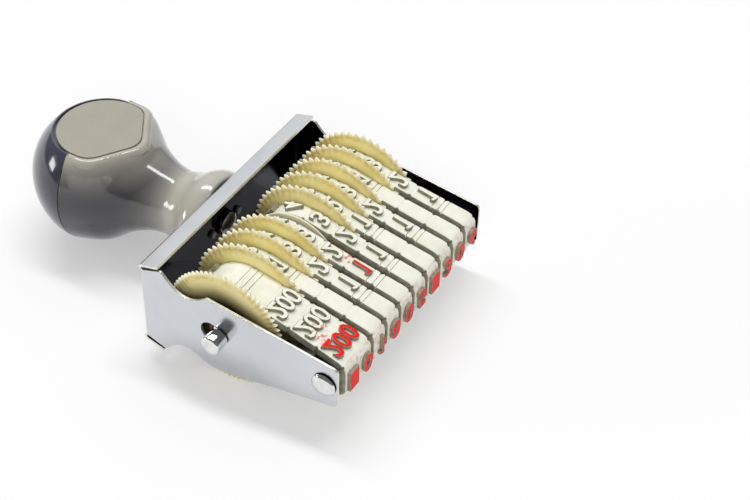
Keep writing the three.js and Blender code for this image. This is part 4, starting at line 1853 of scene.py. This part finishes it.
@dataclass
class Handle:
    """The waisted handle: body, end cap, and the bare label let into the knob's flat.

    Reaches, joint and flange run back from the web. The shoulder and the rim's drops are pairs of a
    distance outside the label's outline and the fall there.
    """

    length: float = 49.5
    knob_radius: float = 16.6
    knob_reach: float = 33.7
    joint: float = 33.0
    seam: float = 0.12
    seam_ease: float = 0.1
    waist_radius: float = 7.7
    waist_reach: float = 12.0
    flat_height: float = 12.3
    rise_shares: tuple = ((0.0, 0.0), (0.2, 0.084), (0.454, 0.362), (0.702, 0.787), (1.0, 1.0))
    flange_face: tuple = ((10.2, 0.3), (10.75, 0.7), (11.0, 1.7), (10.95, 3.0))
    flange_slope: tuple = ((10.6, 4.3), (9.9, 5.6), (9.05, 6.9), (8.45, 8.2), (8.05, 9.9))
    cap_roundness: float = 1.8
    cap_steps: int = 24
    label_rise: float = 0.3
    label_sheet: float = 1.0
    label_edging: Edging = Edging(0.16, 3)
    label_gap: float = 0.28
    rim_rise: float = 0.1
    rim_drops: tuple = ((0.9, 0.0), (1.2, 0.12), (1.6, 0.5), (2.0, 1.05), (2.0, 3.0))
    shoulder_crest: tuple = ((0.9, 0.0), (1.2, 0.12), (1.6, 0.5), (2.1, 1.2))
    shoulder_slope: tuple = ((2.7, 2.3), (3.2, 3.6), (3.6, 5.2), (4.0, 7.6))
    shoulder_rise: float = 0.07
    shoulder_inner: float = 0.7
    shoulder_lowest: float = 2.0
    shoulder_blend: float = 1.7
    under_label: float = 11.4
    ledge: float = 0.35
    recess: float = 0.5
    spigot_radius: float = 6.0
    spigot_length: float = 5.0
    spigot_gap: float = 0.3
    peg_radius: float = 1.0
    peg_spread: float = 4.9
    peg_root: float = -1.0
    peg_end: float = 1.3
    peg_ease: float = 0.15
    peg_steps: int = 24
    line_steps: int = 8
    steps: int = 192
    label: LabelShape = field(default_factory=LabelShape)

    def cut_flat(self, bm: Mesh) -> None:
        """Cuts the knob's flat and closes it.

        Args:
            bm: The turned mesh.
        """
        rim = cut_off(bm, (0, 0, self.flat_height), (0, 0, 1))
        bmesh.ops.holes_fill(bm, edges=rim, sides=0)
        bmesh.ops.recalc_face_normals(bm, faces=bm.faces)

    def drop_at(self, reach: float) -> float:
        """Finds how far the shoulder has fallen.

        Args:
            reach: A distance outside the label's outline.

        Returns:
            The fall there, without end past the shoulder.
        """
        stops = self.shoulder_crest + self.shoulder_slope
        for (near, high), (far, low) in zip(stops, stops[1:]):
            if reach < far:
                return high + (low - high) * max(0.0, reach - near) / (far - near)
        return math.inf

    def raise_shoulder(self, bm: Mesh) -> None:
        """Draws the body's surface up to the label's rim, with a smooth blend.

        Args:
            bm: The body, turned and cut.
        """
        outline = self.label.outline(0.0)
        sides = list(zip(outline, [*outline[1:], outline[0]]))
        top = self.flat_height + self.shoulder_rise
        for vert in bm.verts:
            if vert.co.z < self.shoulder_lowest or vert.co.y > -self.waist_reach:
                continue
            at = Vector(vert.co.xy)
            reach = min((at - closest_on(at, a, b)).length for a, b in sides)
            if reach < self.shoulder_inner or lies_inside(at, sides):
                vert.co.z = min(vert.co.z, self.under_label)
                continue
            target = top - self.drop_at(reach)
            blend = max(0.0, self.shoulder_blend - abs(vert.co.z - target)) / self.shoulder_blend
            vert.co.z = max(vert.co.z, target) + blend**2 * self.shoulder_blend / 4

    def peg(self, side: int) -> Mesh:
        """Turns one of the two pegs that reach through the web.

        Args:
            side: 1 for the near peg, -1 for the far one.

        Returns:
            The peg.
        """
        radius, root, end = self.peg_radius, self.peg_root, self.peg_end
        sides = [(radius, root), (radius, end - self.peg_ease), (radius - self.peg_ease, end)]
        middle = Vector((side * self.peg_spread, 0, 0))
        return turned([(0.0, root), *sides, (0.0, end)], self.peg_steps, "Y", middle)

    def body(self, finish: Finish) -> Piece:
        """Turns the body, with its flange, waist, swell and pegs.

        Args:
            finish: Its material.

        Returns:
            The piece.
        """
        joint = self.seam - self.joint
        line = [(radius, -back) for radius, back in self.flange_face + self.flange_slope]
        foot = line[0][1]
        for along, up in self.rise_shares:
            radius = self.waist_radius + up * (self.knob_radius - self.waist_radius)
            line.append((radius, -self.waist_reach - along * (self.joint - self.waist_reach)))
        line[-1] = (line[-1][0], joint)
        end = joint - self.spigot_length
        spigot = [(self.spigot_radius, joint), (self.spigot_radius, end), (0.0, end)]
        profile = [(0.0, foot), *smooth_line(line, self.line_steps), *spigot]
        bm = turned(profile, self.steps, "Y", Vector())
        self.cut_flat(bm)
        self.raise_shoulder(bm)
        for side in (1, -1):
            add(bm, self.peg(side))
        return finished(bm, "handle_grip", [finish], Slot.TAUPE, ["handle_body"])

    def cap(self, finish: Finish) -> Piece:
        """Turns the end cap, hollow for the body's spigot.

        Args:
            finish: Its material.

        Returns:
            The piece.
        """
        joint = -self.joint - self.seam
        depth = self.length - self.knob_reach
        line = [(self.knob_radius - self.seam_ease, joint), (self.knob_radius, joint - self.seam_ease)]
        for i in range(self.cap_steps):
            along = math.sin(i / self.cap_steps * math.pi / 2)
            radius = self.knob_radius * (1 - along**self.cap_roundness) ** (1 / self.cap_roundness)
            line.append((radius, -self.knob_reach - depth * along))
        inner = self.spigot_radius + self.spigot_gap
        floor = joint - self.spigot_length - self.spigot_gap
        profile = [(0.0, floor), (inner, floor), (inner, joint), *line, (0.0, -self.length)]
        bm = turned(profile, self.steps, "Y", Vector())
        self.cut_flat(bm)
        self.sink(bm)
        return finished(bm, "handle_end_cap", [finish], Slot.SLATE, ["handle_cap"])

    def sink(self, bm: Mesh) -> None:
        """Sinks a shallow seat for the insert into a level top, and leaves a ledge round it.

        Args:
            bm: The mesh, whose highest face is its level top.
        """
        top = max(bm.faces, key=lambda f: f.normal.z * f.calc_area() + f.calc_center_median().z)
        bmesh.ops.inset_region(bm, faces=[top], thickness=self.ledge, use_even_offset=True)
        wall = bmesh.ops.extrude_face_region(bm, geom=[top])["geom"]
        bmesh.ops.translate(bm, verts=only(Vert, wall), vec=(0, 0, -self.recess))
        bmesh.ops.delete(bm, geom=[top], context="FACES")

    def insert(self, finish: Finish) -> Piece:
        """Makes the bare label insert.

        Args:
            finish: Its material.

        Returns:
            The piece.
        """
        bottom = self.flat_height + self.label_rise - self.label_sheet
        bm = drawn_out(((x, y, bottom) for x, y in self.label.outline(0.0)), (0, 0, self.label_sheet))
        edges = {"edging": self.label_edging}
        return finished(bm, "label_plate", [finish], Slot.LABEL, ["label_insert"], **edges)

    def rim(self, finish: Finish) -> Piece:
        """Makes the raised rim round the label, rounded down into the waist's slope.

        Args:
            finish: Its material.

        Returns:
            The piece.
        """
        top = self.flat_height + self.rim_rise
        bm = bmesh.new()
        rings = [
            chain(bm, ((x, y, top - drop) for x, y in self.label.outline(grow)), closed=True)
            for grow, drop in ((self.label_gap, self.recess), (self.label_gap, 0.0), *self.rim_drops)
        ]
        for inner, outer in zip(rings, rings[1:]):
            bmesh.ops.bridge_loops(bm, edges=inner + outer)
        bmesh.ops.holes_fill(bm, edges=rings[0] + rings[-1], sides=0)
        cut_off(bm, (0, self.seam - self.joint, 0), (0, -1, 0))
        bmesh.ops.holes_fill(bm, edges=bm.edges[:], sides=0)
        bmesh.ops.recalc_face_normals(bm, faces=bm.faces)
        return finished(bm, "label_rim", [finish], Slot.TAUPE)

    def build(self, taupe: Finish, slate: Finish, label: Finish) -> None:
        """Makes the handle's pieces.

        Args:
            taupe: The body's plastic.
            slate: The cap's plastic.
            label: The insert's finish.
        """
        self.body(taupe)
        self.cap(slate)
        self.insert(label)
        self.rim(taupe)


@dataclass
class HandleScrew:
    """The screw that holds the handle: a plain round head against the web's inner face."""

    radius: float = 1.6
    depth: float = 14.0
    seat: float = 1.1
    head_radius: float = 3.0
    head_height: float = 1.7
    head_side: float = 0.35
    dome_steps: int = 12
    steps: int = 48

    def build(self, finish: Finish) -> Piece:
        """Turns the screw.

        Args:
            finish: Its material.

        Returns:
            The piece.
        """
        profile = [(0.0, -self.depth), (self.radius, -self.depth)]
        profile += [(self.radius, self.seat), (self.head_radius, self.seat)]
        for point in arc((0.0, 0.0), 1.0, 0.0, 90.0, self.dome_steps)[:-1]:
            rise = self.head_side + (1 - self.head_side) * point.y
            profile.append((self.head_radius * point.x, self.seat + self.head_height * rise))
        profile.append((0.0, self.seat + self.head_height))
        bm = turned(profile, self.steps, "Y", Vector())
        return finished(bm, "screw", [finish], Slot.STEEL, ["handle_screw"])


# Studio


@dataclass(frozen=True)
class Lamp:
    """A soft rectangular lamp that faces the stamp, in metres and watts.

    Its panel's height leans along a direction, and glossy surfaces show the panel if it gleams.
    """

    name: str
    at: tuple
    along: tuple
    size: tuple
    power: float
    gleams: bool = True

    def hang(self) -> None:
        """Hangs the lamp."""
        data = bpy.data.lights.new(self.name, "AREA")
        data.shape = "RECTANGLE"
        data.size, data.size_y = self.size
        data.energy = self.power
        lamp = bpy.data.objects.new(self.name, data)
        back = Vector(self.at).normalized()
        across = Vector(self.along).cross(back).normalized()
        lamp.matrix_world = placed(Vector(self.at), across, back.cross(across), back)
        lamp.visible_glossy = self.gleams
        bpy.context.scene.collection.objects.link(lamp)


@dataclass
class Studio:
    """Pale floor, soft lamps and the camera, in metres.

    The room grows lighter towards its bright side. Filling, for soft light, and gleaming, for
    reflections, each hold the range that it grows over and the strengths at its ends.
    """

    camera_at: tuple = (0.2307, 0.18094, 0.262101)
    looks_along: tuple = (-0.6405, -0.3916, -0.6606)
    camera_up: tuple = (-0.5715, -0.3316, 0.7507)
    sensor: float = 36.0
    lens: float = 82.285
    clip: tuple = (0.01, 20.0)
    floor_half: float = 3.0
    floor_colour: Colour = linear(253, 253, 254)
    floor_glow: float = 0.36
    bright_side: tuple = (-0.66, -0.41, 0.63)
    gleaming: tuple = (0.62, 0.92, 0.16, 1.0)
    filling: tuple = (-0.4, 0.8, 0.12, 0.54)
    lamps: tuple = (
        Lamp("strip", (-0.27, -0.17, 1.0), (0, 1, 0), (0.14, 1.15), 6.4),
        Lamp("window", (0.62, -1.0, 0.24), (0, 0, 1), (0.3, 0.22), 2.0),
        Lamp("fill", (0.75, 0.5, 0.55), (0, 0, 1), (0.7, 0.5), 3.0, gleams=False),
    )

    def camera(self) -> None:
        """Sets the camera at the photograph's angle."""
        data = bpy.data.cameras.new("camera")
        data.sensor_width = self.sensor
        data.lens = self.lens
        data.clip_start, data.clip_end = self.clip
        back = -Vector(self.looks_along).normalized()
        right = Vector(self.camera_up).cross(back).normalized()
        camera = bpy.data.objects.new("camera", data)
        camera.matrix_world = placed(Vector(self.camera_at), right, back.cross(right), back)
        bpy.context.scene.collection.objects.link(camera)
        bpy.context.scene.camera = camera

    def floor(self) -> None:
        """Lays the pale floor, which stays white to the camera and keeps the shadow."""
        bm = bmesh.new()
        bmesh.ops.create_grid(bm, x_segments=1, y_segments=1, size=self.floor_half)
        mesh = bpy.data.meshes.new("floor")
        bm.to_mesh(mesh)
        bm.free()
        graph = Graph("floor")
        graph.shade(Base_Color=(*self.floor_colour, 1), Roughness=0.9, Specular_IOR_Level=0.1)
        rays = graph.node("ShaderNodeLightPath").outputs
        seen = graph.combine(rays["Is Camera Ray"], rays["Is Glossy Ray"], "MAXIMUM")
        seen = graph.combine(seen, rays["Is Transmission Ray"], "MAXIMUM")
        glow = graph.node("ShaderNodeEmission", Color=(1, 1, 1, 1), Strength=1.0)
        share = graph.combine(seen, self.floor_glow, "MULTIPLY")
        lit = {0: share, 1: graph.shader.outputs["BSDF"], 2: glow.outputs["Emission"]}
        mixed = graph.numbered(graph.node("ShaderNodeMixShader"), lit)
        graph.fill(graph.output.inputs["Surface"], mixed.outputs["Shader"])
        mesh.materials.append(graph.material)
        floor = bpy.data.objects.new("floor", mesh)
        bpy.context.scene.collection.objects.link(floor)

    def surroundings(self) -> None:
        """Fills the room with soft light, brighter behind the stamp, and shows it as white."""
        world = bpy.data.worlds.new("room")
        world.use_nodes = True
        room = Wiring(world.node_tree)
        direction = room.node("ShaderNodeTexCoord").outputs["Generated"]
        facing = room.node("ShaderNodeVectorMath", {"operation": "DOT_PRODUCT"})
        bright = room.numbered(facing, {0: direction, 1: self.bright_side}).outputs["Value"]
        rays = room.node("ShaderNodeLightPath").outputs
        mirrored = room.combine(rays["Is Glossy Ray"], rays["Is Transmission Ray"], "MAXIMUM")
        filling, gleaming = (room.spread(bright, *stops) for stops in (self.filling, self.gleaming))
        mixed = room.node("ShaderNodeMix")
        light = room.numbered(mixed, {0: mirrored, 2: filling, 3: gleaming}).outputs[0]
        strength = room.combine(light, rays["Is Camera Ray"], "MAXIMUM")
        background = room.node("ShaderNodeBackground", Color=(1.0, 1.0, 1.0, 1.0), Strength=strength)
        room.node("ShaderNodeOutputWorld", Surface=background.outputs["Background"])
        bpy.context.scene.world = world

    def build(self) -> None:
        """Sets up camera, floor, lamps and room."""
        bpy.context.scene.view_settings.view_transform = "Standard"
        self.camera()
        self.floor()
        self.surroundings()
        for lamp in self.lamps:
            lamp.hang()


def main() -> None:
    """Builds the stamp piece by piece, then the studio."""
    logging.basicConfig(level=logging.INFO, format="%(name)s: %(message)s")
    axle = STAMP_TO_ROW @ Vector((0, AXLE_Y, 0))
    face = STAMP_TO_ROW @ Vector((0, FACE_Y, 0))
    plating = PlatedSheet().make()
    # Painted highlight: the sheet's cut edges take a brighter, warmer copy of the plating.
    edge_highlight_tones = (linear(240, 239, 230), linear(229, 228, 220))
    edge_highlight = PlatedSheet("plated_edge_highlight", *edge_highlight_tones, roughness=0.22, metallic=0.75).make()
    # Painted shade: the frame's inside takes a near-black copy of the plating.
    inside = PlatedSheet("plated_inside_shade", linear(27, 28, 38), linear(20, 21, 29), roughness=0.1).make()
    steel = TurnedSteel().make(axle)
    # Painted shade: the screw inside the web takes a darker copy of the turned steel.
    painted_shade_steel = TurnedSteel("painted_shade_steel", linear(168, 168, 166), linear(130, 130, 132)).make(axle)
    ivory = MouldedIvory().make(axle)
    # Painted shade with some dirt: the first wheel darkens from its middle far out over its flank, in the
    # near plate's shade.
    grimy_shaded = MouldedIvory("grimy_shaded_ivory", hub_shade=linear(66, 54, 32), hub_shade_radius=7.0, hub_shade_fade=6.0).make(axle)
    pale = MouldedIvory("pale_ivory", linear(250, 247, 222), linear(242, 238, 208)).make(axle)
    # Painted shade: the figures' sides take a darker copy of the rubber.
    painted_figure_shade = ShadedGrimyRubber(
        "painted_figure_shade",
        linear(158, 156, 132),
        linear(126, 124, 104),
        cloud_scale=1.4,
        pale_from=0.65,
        smoothest=0.45,
        roughest=0.65,
        grain_scale=5.0,
    )
    # The darker rubber on the belts' sides and undersides is painted shade with some grime.
    bands = [BandRubber().make(face), painted_figure_shade.make(), StampInk().make(), ShadedGrimyRubber().make()]
    # The third tone of each plastic is painted shade, low on the knob and on the pegs.
    taupe_tones = (linear(186, 182, 169), linear(176, 173, 161), linear(52, 53, 58))
    slate_tones = (linear(68, 69, 82), linear(58, 59, 72), linear(46, 47, 58))
    taupe = GlossPlastic("taupe_plastic", *taupe_tones)
    slate = GlossPlastic("slate_plastic", *slate_tones)
    BentFrame().build([plating, edge_highlight, inside])
    Axle().build(steel)
    PlatenBar().build(steel)
    BandSet().build([pale, grimy_shaded, ivory], bands)
    Handle().build(taupe.make(), slate.make(), SatinLabel().make())
    HandleScrew().build(painted_shade_steel)
    Studio().build()


if __name__ == "__main__":
    main()
